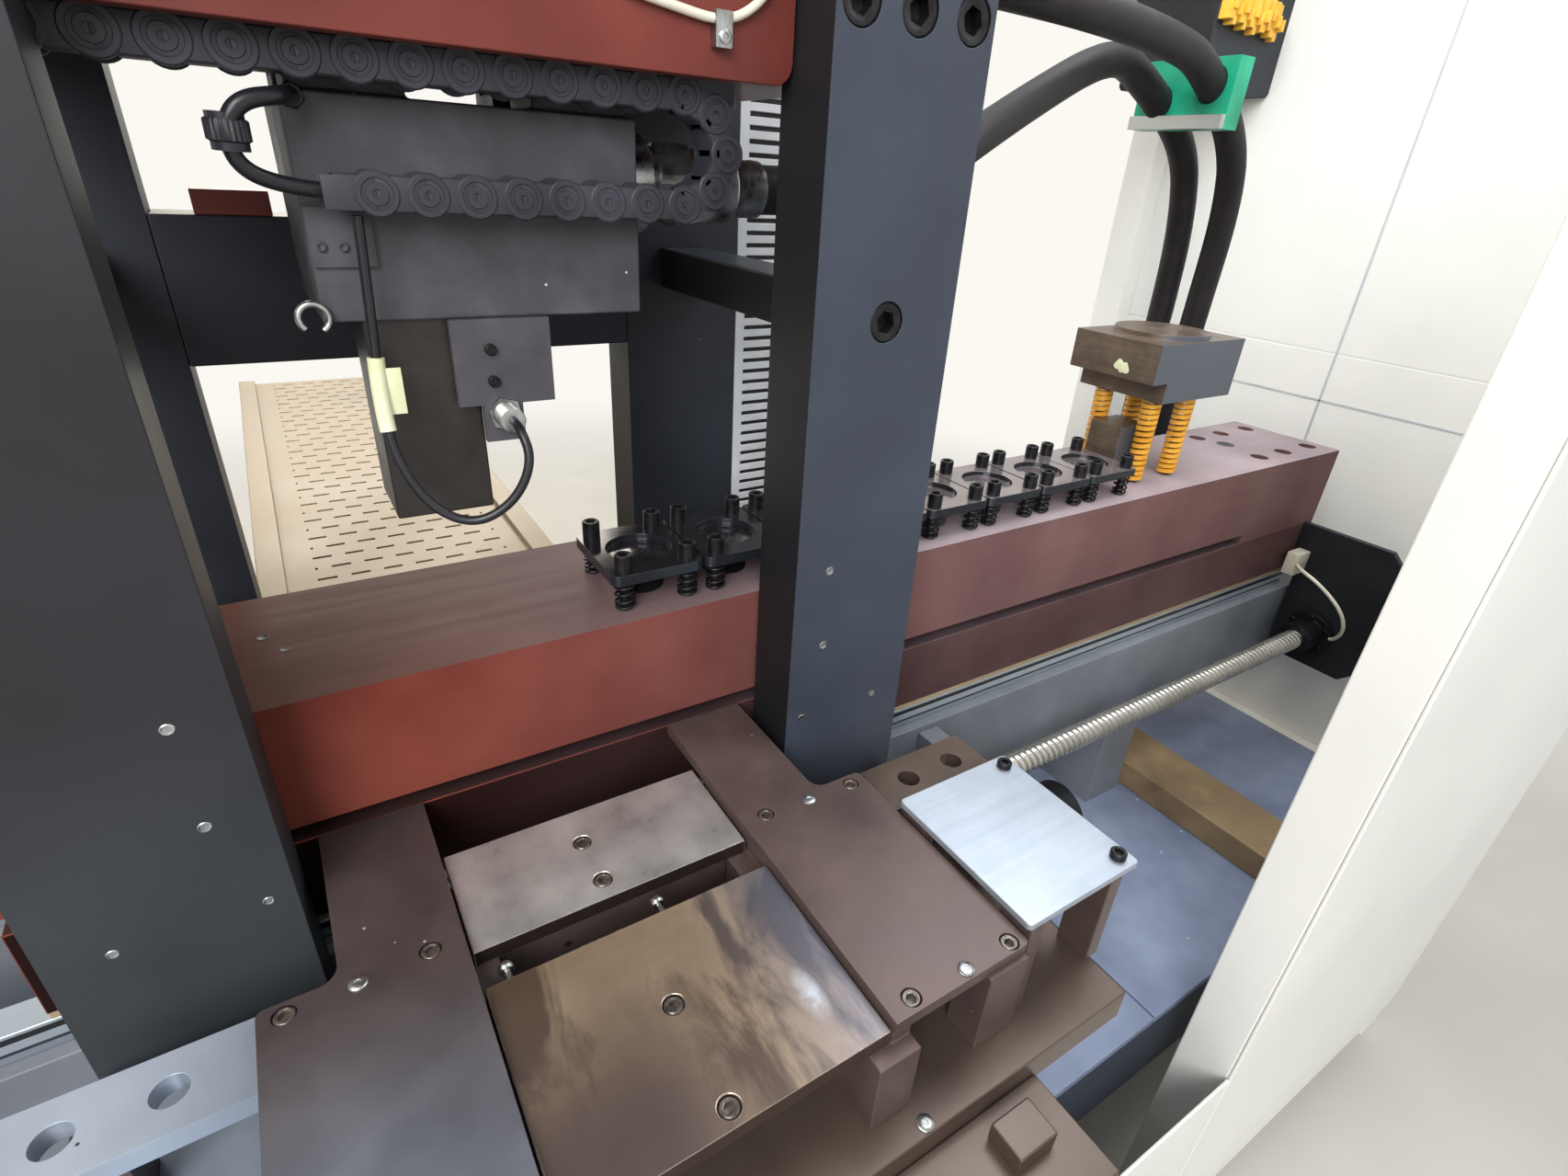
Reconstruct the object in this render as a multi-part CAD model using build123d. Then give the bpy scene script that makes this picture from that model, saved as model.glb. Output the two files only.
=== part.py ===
from build123d import *
import os
from math import radians, tan

# Busbar processing machine: a four-post press portal with a long sliding die beam below its punch head.
# Working axes: X along the die beam, Y along the feed direction, Z up from the floor, in millimetres.
# The portal stands around x = 0, and the die beam's centre line is y = 0.

# Portal
post_gap = 400.0
post_width = 136.0
post_thickness = 60.0
post_rise = 280.0
post_clearance = 10.0
portal_depth = 300.0
post_screw_head = 30.0
post_screw_height = 18.0
post_counterbore = 31.0
post_screw_rise = 40.0
post_screw_spread = 48.0
press_opening = 410.0
crown_height = 250.0
crown_half = 298.0
crown_flange = 30.0
apron_thickness = 16.0
apron_drop = 8.0
apron_corner = 14.0
tie_height = 120.0
tie_drop = 235.0
side_tie_width = 56.0
side_tie_height = 40.0
side_tie_drop = 157.0

# Die beam
beam_left = -370.0
beam_right = 1311.0
beam_depth = 180.0
beam_underside = 845.0
beam_lower_height = 81.0
feed_slot_height = 14.0
feed_slot_solid = 221.0
beam_upper_height = 110.0
end_hole_insets = (30.0, 106.0, 174.0)
end_hole_y = 53.0
end_hole_diameter = 26.0
end_hole_depth = 16.0

# Punch stations on the beam
station_count = 8
station_spacing = 90.0
first_station_x = 113.0
station_y = -25.0
station_width = 88.0
station_depth = 102.0
station_plate = 10.0
station_lift = 27.0
station_hole = 60.0
station_rim = 4.0
punch_diameter = 44.0
punch_retraction = 16.0
station_screw_x = 30.5
station_screw_y = 40.0
station_screw_head = 16.0
station_screw_head_height = 16.0
station_screw_shank = 10.0
station_spring_diameter = 19.0
spring_clearance = 1.5
guide_clearance = 0.3

# Forming tool on the beam
former_x = 875.0
former_width = 180.0
former_front = -66.0
former_depth = 130.0
former_underside = 1165.0
former_height = 75.0
former_wing = 30.0
former_step = 26.0
former_pad = 120.0
former_pad_height = 6.0
former_spring_spacing = 76.0
former_spring_diameter = 25.0
former_stem_width = 55.0
former_stem_depth = 50.0
former_stem_offset = -42.5
former_stem_gap = 40.0

# Slideways, ball screw and drive
rail_height = 27.0
rail_width = 28.0
rail_front = -88.0
wear_strip_gap = 0.3
slideway_left = -1180.0
slideway_overrun = 69.0
slideway_height = 130.0
slideway_width = 50.0
screw_diameter = 32.0
screw_y = -163.0
screw_z = 752.0
screw_left = 470.0
nut_plate_inset = 28.0
nut_plate_thickness = 12.0
nut_plate_front = -252.0
nut_plate_top = 928.0
nut_plate_bottom = 690.0
nut_plate_chamfer = 24.0
nut_flange = 74.0
nut_flange_thickness = 14.0
nut_body = 52.0
nut_length = 44.0
running_clearance = 0.1
bearing_thickness = 30.0
motor_length = 170.0
motor_size = 100.0
motor_drop = 132.0

# Infeed table
table_top = 928.0
table_plate = 10.0
table_inner = 109.0
table_outer = 231.0
table_front = -438.0
table_back = -233.0
tongue_outer = 185.0
tongue_back = -92.0
tongue_radius = 12.0
infeed_top = 920.0
infeed_half = 107.0
infeed_front = -436.0
infeed_back = -279.0
infeed_plate_thickness = 14.0
shear_front = -249.0
shear_back = -152.0
wall_thickness = 16.0
side_bar_end = 358.0
side_bar_front = -281.0
side_bar_back = -227.0
side_bar_thickness = 15.0
side_bar_hole = 20.0
base_top = 842.0
base_thickness = 30.0
base_half = 331.0
base_front = -470.0
base_back = -165.0
pedestal_inner = 120.0
step_top = 820.0
step_thickness = 22.0
step_half = 231.0
step_front = -546.0
cover_right = 357.0
cover_front = -434.0
cover_back = -288.0
cover_thickness = 6.0
table_screw_head = 13.0
right_table_screws = [(131, -239), (216, -243), (129, -428), (218, -430)]
infeed_screws = [(-5, -350), (-4, -424)]
shear_screws = [(-9, -188), (-8, -231)]
cover_screws = [(cover_right - 12, cover_front + 12), (cover_right - 12, cover_back - 12)]
table_pin_places = [(172, -242), (175, -431), (-175, -242)]
base_pin_place = (126, -463)
pin_diameter = 10.0
pin_rise = 1.5
stop_pin_places = (-90, 21)
stop_pin_diameter = 7.0
stop_pin_length = 16.0

# Bed
bed_top = 500.0
bed_plate = 12.0
bed_half_depth = 400.0
bed_tube = 100.0
bed_beam_height = 120.0
bed_seam = 620.0
foot_height = 60.0
cross_tube_inset = 356.0
cross_tube_width = 104.0
cross_tube_height = 45.0

# Punch head
head_half_width = 107.0
head_front = -62.0
head_depth = 162.0
head_hang = 32.0
head_height = 127.0
head_rail_width = 20.0
head_rail_height = 18.0
head_rail_spacing = 96.0
carriage_gap = 0.4
ram_size = 68.0
ram_x = -51.0
ram_length = 215.0
ram_stroke_up = 44.0
ram_reach = 139.0
ram_clearance = 0.3
sensor_plate_width = 68.0
sensor_plate_thickness = 6.0
sensor_plate_height = 59.0
sensor_diameter = 18.0
sensor_cable_diameter = 6.5
power_cable_diameter = 9.0
sensor_x = -4.0
sensor_drop = 65.0

# Energy chain
chain_front = -96.0
chain_width = 30.0
chain_pitch = 28.0
chain_height = 25.0
chain_bend = 33.0
chain_bend_x = 128.0
chain_drop = 50.0
chain_fixed_x = -330.0
chain_head_x = -90.0

# Hydraulics
hose_diameter = 38.0
fitting_diameter = 54.0
fitting_y = -10.0
fitting_drop = 41.0
fitting_length = 128.0
clamp_x = 955.0
clamp_thickness = 30.0
clamp_front = 42.0
clamp_length = 138.0
clamp_bottom = 1482.0
clamp_height = 80.0
clamp_bar_thickness = 8.0
clamp_bar_height = 16.0
clamp_run = 4

# Outfeed table
deck_top = 920.0
deck_left = -180.0
deck_right = 110.0
deck_end = 1466.0
deck_thickness = 4.0
deck_slot_length = 26.0
deck_slot_width = 7.0
channel_height = 110.0
channel_width = 30.0
deck_row_spacing = 48.0
deck_slot_spacing = 72.0
outfeed_leg = 46.0
outfeed_tube = 42.0
outfeed_first_stand = 500.0
outfeed_last_stand = 66.0

# Cable duct
duct_width = 60.0
duct_depth = 60.0
duct_margin = 12.0
duct_lift = 420.0
duct_top_gap = 40.0
duct_slot_spacing = 13.0
duct_slot_height = 5.0
duct_slot_depth = 3.0

# Enclosure
side_clearance = 68.0
enclosure_front = -486.0
enclosure_back = 480.0
enclosure_top = 2050.0
enclosure_tube = 60.0
sheet = 4.0
front_panel_left = 647.0
terminal_width = 200.0
terminal_depth = 154.0
terminal_height = 230.0
terminal_front = 256.0
terminal_underside = 1560.0
panel_bottom = 70.0
wall_seam = 1180.0

# Derived levels and places
beam_half = beam_depth / 2
slot_bottom = beam_underside + beam_lower_height
slot_top = slot_bottom + feed_slot_height
beam_top = slot_top + beam_upper_height
feed_slot_end = beam_right - feed_slot_solid
crown_underside = beam_top + press_opening
post_top = crown_underside + post_rise
post_screw_level = crown_underside + post_screw_rise
tie_underside = crown_underside - tie_drop
side_tie_level = crown_underside - side_tie_drop
post_rear_face = -(beam_half + post_clearance)
post_front_face = post_rear_face - post_thickness
rear_post_face = post_rear_face + portal_depth
rear_post_back = rear_post_face + post_thickness
post_inner = post_gap / 2
post_outer = post_inner + post_width
post_middle = (post_inner + post_outer) / 2
slideway_front = post_rear_face
nut_plate_x = beam_right - nut_plate_inset
slideway_right = nut_plate_x + slideway_overrun
enclosure_half = slideway_right + side_clearance
bed_half_length = enclosure_half - enclosure_tube
cross_tube_x = bed_half_length - cross_tube_inset
slideway_top = beam_underside - rail_height - 8.0
slideway_bottom = slideway_top - slideway_height
plate_bottom = beam_top + station_lift
plate_top = plate_bottom + station_plate
station_centres = [first_station_x + station_spacing * i for i in range(station_count)]
head_top = crown_underside - head_hang
head_underside = head_top - head_height
ram_underside = head_underside - ram_reach
sensor_plate_bottom = head_underside - sensor_plate_height
sensor_z = head_underside - sensor_drop
fitting_z = head_top - fitting_drop
chain_bend_z = crown_underside - chain_drop
shift_to_centre = -(step_front + deck_end) / 2


def block(x, y, z):
    """A box between two values on each axis."""
    low = Align.MIN, Align.MIN, Align.MIN
    return Pos(x[0], y[0], z[0]) * Box(x[1] - x[0], y[1] - y[0], z[1] - z[0], align=low)


def upright(x, y, z, diameter):
    """A vertical cylinder between two levels."""
    base = Align.CENTER, Align.CENTER, Align.MIN
    return Pos(x, y, z[0]) * Cylinder(diameter / 2, z[1] - z[0], align=base)


def along_x(x, y, z, diameter):
    """A cylinder along X between two values of x."""
    base = Align.CENTER, Align.CENTER, Align.MIN
    return Pos(x[0], y, z) * Rot(0, 90, 0) * Cylinder(diameter / 2, x[1] - x[0], align=base)


def along_y(x, y, z, diameter):
    """A cylinder along Y between two values of y."""
    base = Align.CENTER, Align.CENTER, Align.MIN
    return Pos(x, y[0], z) * Rot(-90, 0, 0) * Cylinder(diameter / 2, y[1] - y[0], align=base)


def mirrored(shape):
    """The shape's image on the other side of the portal's middle plane."""
    return mirror(shape, about=Plane.YZ)


def both_sides(shape):
    return [shape, mirrored(shape)]


def side_profile(points, x):
    """A plate cut to a profile of (y, z) points, between two values of x."""
    face = Plane.YZ.offset(x[0]) * make_face(Polyline(*points, close=True))
    return extrude(face, x[1] - x[0])


def plan_profile(points, z):
    """A plate cut to a profile of (x, y) points, between two levels."""
    face = Plane.XY.offset(z[0]) * make_face(Polyline(*points, close=True))
    return extrude(face, z[1] - z[0])


def cable(points, diameter):
    """A tube of straight runs joined by arcs as large as the runs allow, through hand-chosen points."""
    route = [Vector(*p) for p in points]
    radii = []
    for before, corner, after in zip(route, route[1:], route[2:]):
        shorter = min((corner - before).length, (after - corner).length)
        turn = (corner - before).get_angle(after - corner)
        radii.append(0.45 * shorter / tan(radians(turn) / 2))
    path = FilletPolyline(*points, radius=radii)
    start = Plane(origin=path @ 0, z_dir=path % 0)
    tube = sweep(start * Circle(diameter / 2), path=path)
    return tube, path.length, min(radii)


def bed_frame():
    """One welded bed: legs, two long beams and cross beams, with two table pedestals standing on it."""
    beam_z = bed_top - bed_plate - bed_beam_height, bed_top - bed_plate
    edge = bed_half_depth - bed_tube
    leg_places = (bed_half_length - bed_tube / 2, post_middle)
    frame = block((-bed_half_length, bed_half_length), (-bed_half_depth, -edge), beam_z)
    frame += block((-bed_half_length, bed_half_length), (edge, bed_half_depth), beam_z)
    for place in leg_places:
        for x in (-place, place):
            across = x - bed_tube / 2, x + bed_tube / 2
            frame += block(across, (-edge, edge), beam_z)
            for y in (-bed_half_depth, edge):
                frame += block(across, (y, y + bed_tube), (foot_height, beam_z[0]))
    pedestal_y = base_front + wall_thickness, base_back - wall_thickness
    pedestal = block((pedestal_inner, step_half), pedestal_y, (bed_top, base_top - base_thickness))
    return [frame, *both_sides(pedestal)]


def bed_plates():
    """Three cover plates on the bed frame, with narrow seams between them."""
    seam = 2.0
    edges = (-bed_half_length, -bed_seam, bed_seam, bed_half_length)
    plates = []
    for left, right in zip(edges, edges[1:]):
        inset_left = 0 if left == -bed_half_length else seam / 2
        inset_right = 0 if right == bed_half_length else seam / 2
        spread = left + inset_left, right - inset_right
        plates.append(block(spread, (-bed_half_depth, bed_half_depth), (bed_top - bed_plate, bed_top)))
    return plates


def levelling_feet():
    """A round pad on a threaded stud under each bed leg."""
    pad_height = 14.0
    feet = []
    for x in (bed_half_length - bed_tube / 2, post_middle):
        for y in (-1, 1):
            middle = y * (bed_half_depth - bed_tube / 2)
            foot = upright(x, middle, (0, pad_height), 84)
            foot += upright(x, middle, (pad_height, foot_height), 24)
            feet += both_sides(foot)
    return feet


def post_screw_places():
    """Screw axes (x, z) in the right front post: one at the side tie and a row of three at the crown."""
    row = [(post_middle + post_screw_spread * i, post_screw_level) for i in (-1, 0, 1)]
    return [(post_middle, side_tie_level), *row]


def portal_posts():
    """Four flat bars standing on the bed, the front pair with counterbored screw holes."""
    front = block((post_inner, post_outer), (post_front_face, post_rear_face), (bed_top, post_top))
    for x, z in post_screw_places():
        front -= along_y(x, (post_front_face, post_front_face + post_screw_height + 1), z, post_counterbore)
    rear = block((post_inner, post_outer), (rear_post_face, rear_post_back), (bed_top, post_top))
    return [*both_sides(front), *both_sides(rear)]


def crown_beam():
    """The crown between the posts, with a front apron whose lower corners are rounded."""
    level = crown_underside, crown_underside + crown_height
    crown = block((-crown_half, crown_half), (post_rear_face, rear_post_face), level)
    crown += block((-post_outer, post_outer), (post_rear_face, post_rear_face + crown_flange), level)
    half = post_inner - 1
    apron_y = post_rear_face - apron_thickness, post_rear_face
    apron = block((-half, half), apron_y, (crown_underside - apron_drop, level[1]))
    lower_corners = apron.edges().filter_by(Axis.Y).group_by(Axis.Z)[0]
    return [crown + fillet(lower_corners, apron_corner)]


def portal_ties():
    """The rear tie beam between the rear posts, and a side tie from front to rear on each side."""
    rear_level = tie_underside, tie_underside + tie_height
    rear = block((-post_inner, post_inner), (rear_post_face, rear_post_back), rear_level)
    half = side_tie_width / 2
    side_level = side_tie_level - side_tie_height / 2, side_tie_level + side_tie_height / 2
    side = block((post_middle - half, post_middle + half), (post_rear_face, rear_post_face), side_level)
    return [rear, *both_sides(side)]


def stop_block():
    """A small red block on the rear tie beam."""
    base = tie_underside + tie_height
    return [block((-168, -113), (rear_post_face, rear_post_face + 34), (base, base + 19))]


def guide_rails():
    """Two flat rails under the die beam, and two short rails under the crown for the head."""
    level = slideway_top, slideway_top + rail_height
    run = slideway_left + 20, nut_plate_x
    front = block(run, (rail_front, rail_front + rail_width), level)
    rails = [front, mirror(front, about=Plane.XZ)]
    middle = head_front + head_depth / 2
    top = crown_underside - head_rail_height, crown_underside
    for side in (-1, 1):
        y = middle + side * head_rail_spacing / 2
        spread = y - head_rail_width / 2, y + head_rail_width / 2
        rails.append(block((-post_inner + 2, post_inner - 2), spread, top))
    return rails


def rail_supports():
    """Two long slideway beams joined by three cross pillars on the bed."""
    level = slideway_bottom, slideway_top
    run = slideway_left, slideway_right
    body = block(run, (slideway_front, slideway_front + slideway_width), level)
    body += block(run, (-slideway_front - slideway_width, -slideway_front), level)
    for x in (-900, 0, 900):
        body += block((x - 40, x + 40), (slideway_front, -slideway_front), (bed_top, slideway_bottom))
    return [body]


def ball_screw():
    """The ball screw, turning between its drive housing and its end bearing."""
    return [along_x((screw_left, slideway_right - bearing_thickness), screw_y, screw_z, screw_diameter)]


def screw_bearings():
    """The belt housing at the screw's left end and the bearing block at its right end."""
    front = screw_y - motor_size / 2
    top = screw_z + motor_size / 2
    left = block((screw_left - bearing_thickness, screw_left), (front, slideway_front),
                 (screw_z - motor_drop - motor_size / 2, top))
    left = fillet(left.edges().filter_by(Axis.X).group_by(Axis.Y)[0], 20)
    right_x = slideway_right - bearing_thickness, slideway_right
    right = block(right_x, (front, slideway_front), (screw_z - motor_size / 2, top))
    right = chamfer(right.edges().filter_by(Axis.X).group_by(Axis.Y)[0], 16)
    return [left, right]


def servo_motor():
    """The servo motor below the screw, on the belt housing."""
    z = screw_z - motor_drop
    half = motor_size / 2
    rear = screw_left + motor_length
    body = block((screw_left, rear), (screw_y - half, screw_y + half), (z - half, z + half))
    body = chamfer(body.edges().filter_by(Axis.X), 12)
    body += along_x((rear, rear + 40), screw_y, z, motor_size - 14)
    return [body]


def cross_tube():
    """A square tube lying across the bed."""
    half = cross_tube_width / 2
    wall = 4.0
    outer = block((cross_tube_x - half, cross_tube_x + half), (-bed_half_depth, bed_half_depth),
                  (bed_top, bed_top + cross_tube_height))
    bore = block((cross_tube_x - half + wall, cross_tube_x + half - wall), (-bed_half_depth, bed_half_depth),
                 (bed_top + wall, bed_top + cross_tube_height - wall))
    return [outer - bore]


def base_plates():
    """The table's base plate, and the lower step plate with its small block in front."""
    base = block((-base_half, base_half), (base_front, base_back), (base_top - base_thickness, base_top))
    step = block((-step_half, step_half), (step_front, base_front), (step_top - step_thickness, step_top))
    lug = block((168, 204), (-512, -484), (step_top, step_top + 16))
    return [base, step, lug]


def infeed_walls():
    """Stepped side walls under the table plates, the shear block and the supports and standoffs."""
    ledge = infeed_top - infeed_plate_thickness
    under_plate = table_top - table_plate
    wall_out = table_inner + wall_thickness
    wall_y = infeed_front - 12, base_back - 5
    wall = block((infeed_half - wall_thickness, wall_out), wall_y, (base_top, ledge))
    wall += block((table_inner, wall_out), (wall_y[0] + 12, wall_y[1]), (ledge, under_plate))
    corner = block((step_half - 40, table_outer - 2), (table_front - 4, table_front + 26), (base_top, under_plate))
    bar_foot = block((base_half - 32, base_half - 6), (side_bar_front + 10, side_bar_back - 10),
                     (base_top, under_plate - side_bar_thickness))
    inner = infeed_half - wall_thickness
    shear_block = block((-inner, inner), (shear_front + 4, shear_back - 40), (base_top, ledge))
    standoffs = []
    for x in (table_outer + 5, cover_right - 32):
        for y in (cover_front, cover_back - 30):
            standoffs.append(block((x, x + 14), (y, y + 30), (base_top, table_top + 4)))
    return [*both_sides(wall), *both_sides(corner), *both_sides(bar_foot), shear_block, *standoffs]


def screw_seat(plate, x, y, top):
    """Cuts one counterbore for a table screw into a plate."""
    return plate - upright(x, y, (top - 8.5, top), table_screw_head + 1.5)


def table_screw(x, y, top):
    return upright(x, y, (top - 8.5, top - 0.5), table_screw_head)


def infeed_plate():
    """The worn infeed plate between the two table plates."""
    level = infeed_top - infeed_plate_thickness, infeed_top
    plate = block((-infeed_half, infeed_half), (infeed_front, infeed_back), level)
    for x, y in infeed_screws:
        plate = screw_seat(plate, x, y, infeed_top)
    return [plate]


def shear_plate():
    """The bright plate in front of the die beam."""
    level = infeed_top - infeed_plate_thickness, infeed_top
    plate = block((-infeed_half, infeed_half - 1), (shear_front, shear_back), level)
    for x, y in shear_screws:
        plate = screw_seat(plate, x, y, infeed_top)
    return [plate]


def table_plates():
    """The left and right table plates, each with a tongue reaching to the die beam."""
    outline = [(table_inner, table_front), (table_outer, table_front), (table_outer, table_back),
               (tongue_outer, table_back), (tongue_outer, tongue_back), (table_inner, tongue_back)]
    plate = plan_profile(outline, (table_top - table_plate, table_top))
    upright_edges = plate.edges().filter_by(Axis.Z)
    step_corner = upright_edges.sort_by_distance((tongue_outer, table_back, table_top))[0]
    plate = fillet([step_corner], tongue_radius)
    outer_edges = plate.edges().filter_by(Axis.Z).group_by(Axis.X)[-1]
    plate = fillet(outer_edges, 5)
    for x, y in right_table_screws:
        plate = screw_seat(plate, x, y, table_top)
    return both_sides(plate)


def side_bars():
    """The drilled bar reaching out under each table plate."""
    top = table_top - table_plate
    bar = block((table_inner + wall_thickness, side_bar_end), (side_bar_front, side_bar_back),
                (top - side_bar_thickness, top))
    middle = (side_bar_front + side_bar_back) / 2
    for x in (post_middle + 7, post_middle + 59):
        bar -= upright(x, middle, (top - side_bar_thickness, top), side_bar_hole)
    return both_sides(bar)


def cover_plate():
    """The bare aluminium cover on its four standoffs."""
    bottom = table_top + 4
    plate = block((table_outer + 2, cover_right), (cover_front, cover_back), (bottom, bottom + cover_thickness))
    return [fillet(plate.edges().filter_by(Axis.Z), 4)]


def socket_screws():
    """Screw heads in the posts and the table plates."""
    heads = []
    seat = post_front_face + post_screw_height + 1
    for x, z in post_screw_places():
        heads += both_sides(along_y(x, (seat - post_screw_height, seat), z, post_screw_head))
    for x, y in right_table_screws:
        heads += both_sides(table_screw(x, y, table_top))
    for x, y in infeed_screws + shear_screws:
        heads.append(table_screw(x, y, infeed_top))
    cover_top = table_top + 4 + cover_thickness
    for x, y in cover_screws:
        heads.append(upright(x, y, (cover_top, cover_top + 6), table_screw_head))
    return heads


def table_pins():
    """Bright dowels standing slightly proud of the plates, and two stop pins in the feed slot."""
    pins = [upright(x, y, (table_top, table_top + pin_rise), pin_diameter) for x, y in table_pin_places]
    pins.append(upright(*base_pin_place, (base_top, base_top + pin_rise), pin_diameter))
    pin_z = infeed_top - infeed_plate_thickness / 2
    for x in stop_pin_places:
        pins.append(along_y(x, (infeed_back, infeed_back + stop_pin_length), pin_z, stop_pin_diameter))
    return pins


def cable_duct():
    """The slotted cable duct on the outer side of the right rear post."""
    left, right = post_outer, post_outer + duct_width
    face = rear_post_face
    bottom, top = bed_top + duct_lift, post_top - duct_top_gap
    duct = block((left, right), (face, face + duct_depth), (bottom, top))
    level = bottom + duct_slot_spacing
    while level < top - duct_slot_spacing:
        slot = block((left + duct_margin, right), (face, face + duct_slot_depth), (level, level + duct_slot_height))
        duct -= slot
        level += duct_slot_spacing
    return [duct]


def outfeed_deck():
    """The outfeed deck with rows of staggered slots."""
    front = rear_post_back + 2
    deck = block((deck_left, deck_right), (front, deck_end), (deck_top - deck_thickness, deck_top))
    cuts = []
    rows = int((deck_end - front) / deck_row_spacing) - 1
    for row in range(rows):
        y = front + (row + 1) * deck_row_spacing
        x = deck_left + deck_slot_length + (row % 2) * deck_slot_spacing / 2
        while x + deck_slot_length < deck_right - deck_slot_width:
            slot = block((x, x + deck_slot_length), (y, y + deck_slot_width), (deck_top - deck_thickness, deck_top))
            cuts.append(slot)
            x += deck_slot_spacing
    return [deck - cuts]


def outfeed_frame():
    """Side channels of the outfeed table, its cross tube on the rear posts and its two stands."""
    low = deck_top - channel_height
    front = rear_post_back + 2
    parts = block((deck_left - channel_width, deck_left), (front, deck_end), (low, deck_top + 8))
    parts += block((deck_right, deck_right + channel_width), (front, deck_end), (low, deck_top + 8))
    tube_y = rear_post_back, rear_post_back + outfeed_tube
    parts += block((-post_outer, post_outer), tube_y, (low - outfeed_tube, low))
    leg = outfeed_leg
    for y in (rear_post_back + outfeed_first_stand, deck_end - outfeed_last_stand):
        parts += block((deck_left - channel_width, deck_right + channel_width), (y, y + leg), (low - leg, low))
        for x in (deck_left - channel_width, deck_right + channel_width - leg):
            parts += block((x, x + leg), (y, y + leg), (0, low - leg))
    return [parts]


def enclosure_frame():
    """Square-tube frame: corner posts, an intermediate front post, and rings at the bed and the top."""
    t = enclosure_tube
    outer = enclosure_half
    y_front = enclosure_front, enclosure_front + t
    y_back = enclosure_back - t, enclosure_back
    full = 0, enclosure_top
    body = block((front_panel_left, front_panel_left + t), y_front, full)
    for x in ((-outer, -outer + t), (outer - t, outer)):
        body += block(x, y_front, full)
        body += block(x, y_back, full)
        body += block(x, (enclosure_front, enclosure_back), (bed_top - bed_plate - t, bed_top - bed_plate))
        body += block(x, (enclosure_front, enclosure_back), (enclosure_top - t, enclosure_top))
    for y in (y_front, y_back):
        body += block((-outer, outer), y, (enclosure_top - t, enclosure_top))
        body += block((-outer, outer), y, (panel_bottom, panel_bottom + t))
    return [body]


def side_walls():
    """Two sheets to each side, meeting at a seam, set inside the frame."""
    inner = enclosure_half - 16
    y = enclosure_front + enclosure_tube, enclosure_back - enclosure_tube
    low = block((inner - sheet, inner), y, (panel_bottom, wall_seam - 1))
    low -= block((inner - sheet, inner), y, (bed_top - bed_plate - enclosure_tube, bed_top - bed_plate))
    high = block((inner - sheet, inner), y, (wall_seam + 1, enclosure_top - enclosure_tube))
    return [*both_sides(high), *[m for s in low.solids() for m in both_sides(s)]]


def front_panel():
    """The plain front panel right of the opening, and the low skirt under the opening."""
    y = enclosure_front - sheet, enclosure_front
    tall = block((front_panel_left, enclosure_half), y, (panel_bottom, enclosure_top))
    skirt = block((-enclosure_half, front_panel_left - 2), y, (panel_bottom, bed_top - 20))
    return [tall, skirt]


def upper_panels():
    """The roof, the upper and lower rear panels."""
    y = enclosure_back, enclosure_back + sheet
    roof = block((-enclosure_half, enclosure_half), (enclosure_front, enclosure_back),
                 (enclosure_top, enclosure_top + sheet))
    rear_high = block((-enclosure_half, enclosure_half), y, (post_top - 40, enclosure_top))
    rear_low = block((-enclosure_half, enclosure_half), y, (panel_bottom, bed_top + 200))
    return [roof, rear_high, rear_low]


def terminal_box():
    """The dark terminal box on the right side wall."""
    wall = enclosure_half - 16 - sheet
    depth = terminal_front, terminal_front + terminal_depth
    level = terminal_underside, terminal_underside + terminal_height
    box = block((wall - terminal_width, wall), depth, level)
    return [chamfer(box.edges().filter_by(Axis.Y), 6)]


def beam_lower_plate():
    """The lower half of the die beam."""
    return [block((beam_left, beam_right), (-beam_half, beam_half), (beam_underside, slot_bottom))]


def beam_upper_plate():
    """The upper half of the die beam, with its solid right end, punch bores and end holes."""
    plate = block((beam_left, beam_right), (-beam_half, beam_half), (slot_top, beam_top))
    plate += block((feed_slot_end, beam_right), (-beam_half, beam_half), (slot_bottom, slot_top))
    for x in station_centres:
        plate -= upright(x, station_y, (slot_top, beam_top), punch_diameter + 2 * running_clearance)
    for inset in end_hole_insets:
        for y in (-end_hole_y, end_hole_y):
            plate -= upright(beam_right - inset, y, (beam_top - end_hole_depth, beam_top), end_hole_diameter)
    return [plate]


def wear_strips():
    """The bronze strips under the die beam that run on the rails."""
    level = slideway_top + rail_height + wear_strip_gap, beam_underside
    front = block((beam_left, nut_plate_x - 10), (rail_front, rail_front + rail_width - 2), level)
    return [front, mirror(front, about=Plane.XZ)]


def nut_plate():
    """The chamfered plate that joins the ball nut to the die beam's front face."""
    inner_low = slideway_front - 4
    c = nut_plate_chamfer
    outline = [(-beam_half, nut_plate_top), (-beam_half, beam_underside + 4), (inner_low, beam_underside + 4),
               (inner_low, nut_plate_bottom), (nut_plate_front + c, nut_plate_bottom),
               (nut_plate_front, nut_plate_bottom + c), (nut_plate_front, nut_plate_top - c),
               (nut_plate_front + c, nut_plate_top)]
    plate = side_profile(outline, (nut_plate_x, nut_plate_x + nut_plate_thickness))
    bore = screw_diameter + 2.0
    return [plate - along_x((nut_plate_x, nut_plate_x + nut_plate_thickness), screw_y, screw_z, bore)]


def ball_nut():
    """The flanged ball nut on the left face of the nut plate."""
    flange_x = nut_plate_x - nut_flange_thickness
    nut = along_x((flange_x, nut_plate_x), screw_y, screw_z, nut_flange)
    nut += along_x((flange_x - nut_length, flange_x), screw_y, screw_z, nut_body)
    bore = screw_diameter + 2 * running_clearance
    return [nut - along_x((flange_x - nut_length, nut_plate_x), screw_y, screw_z, bore)]


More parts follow.
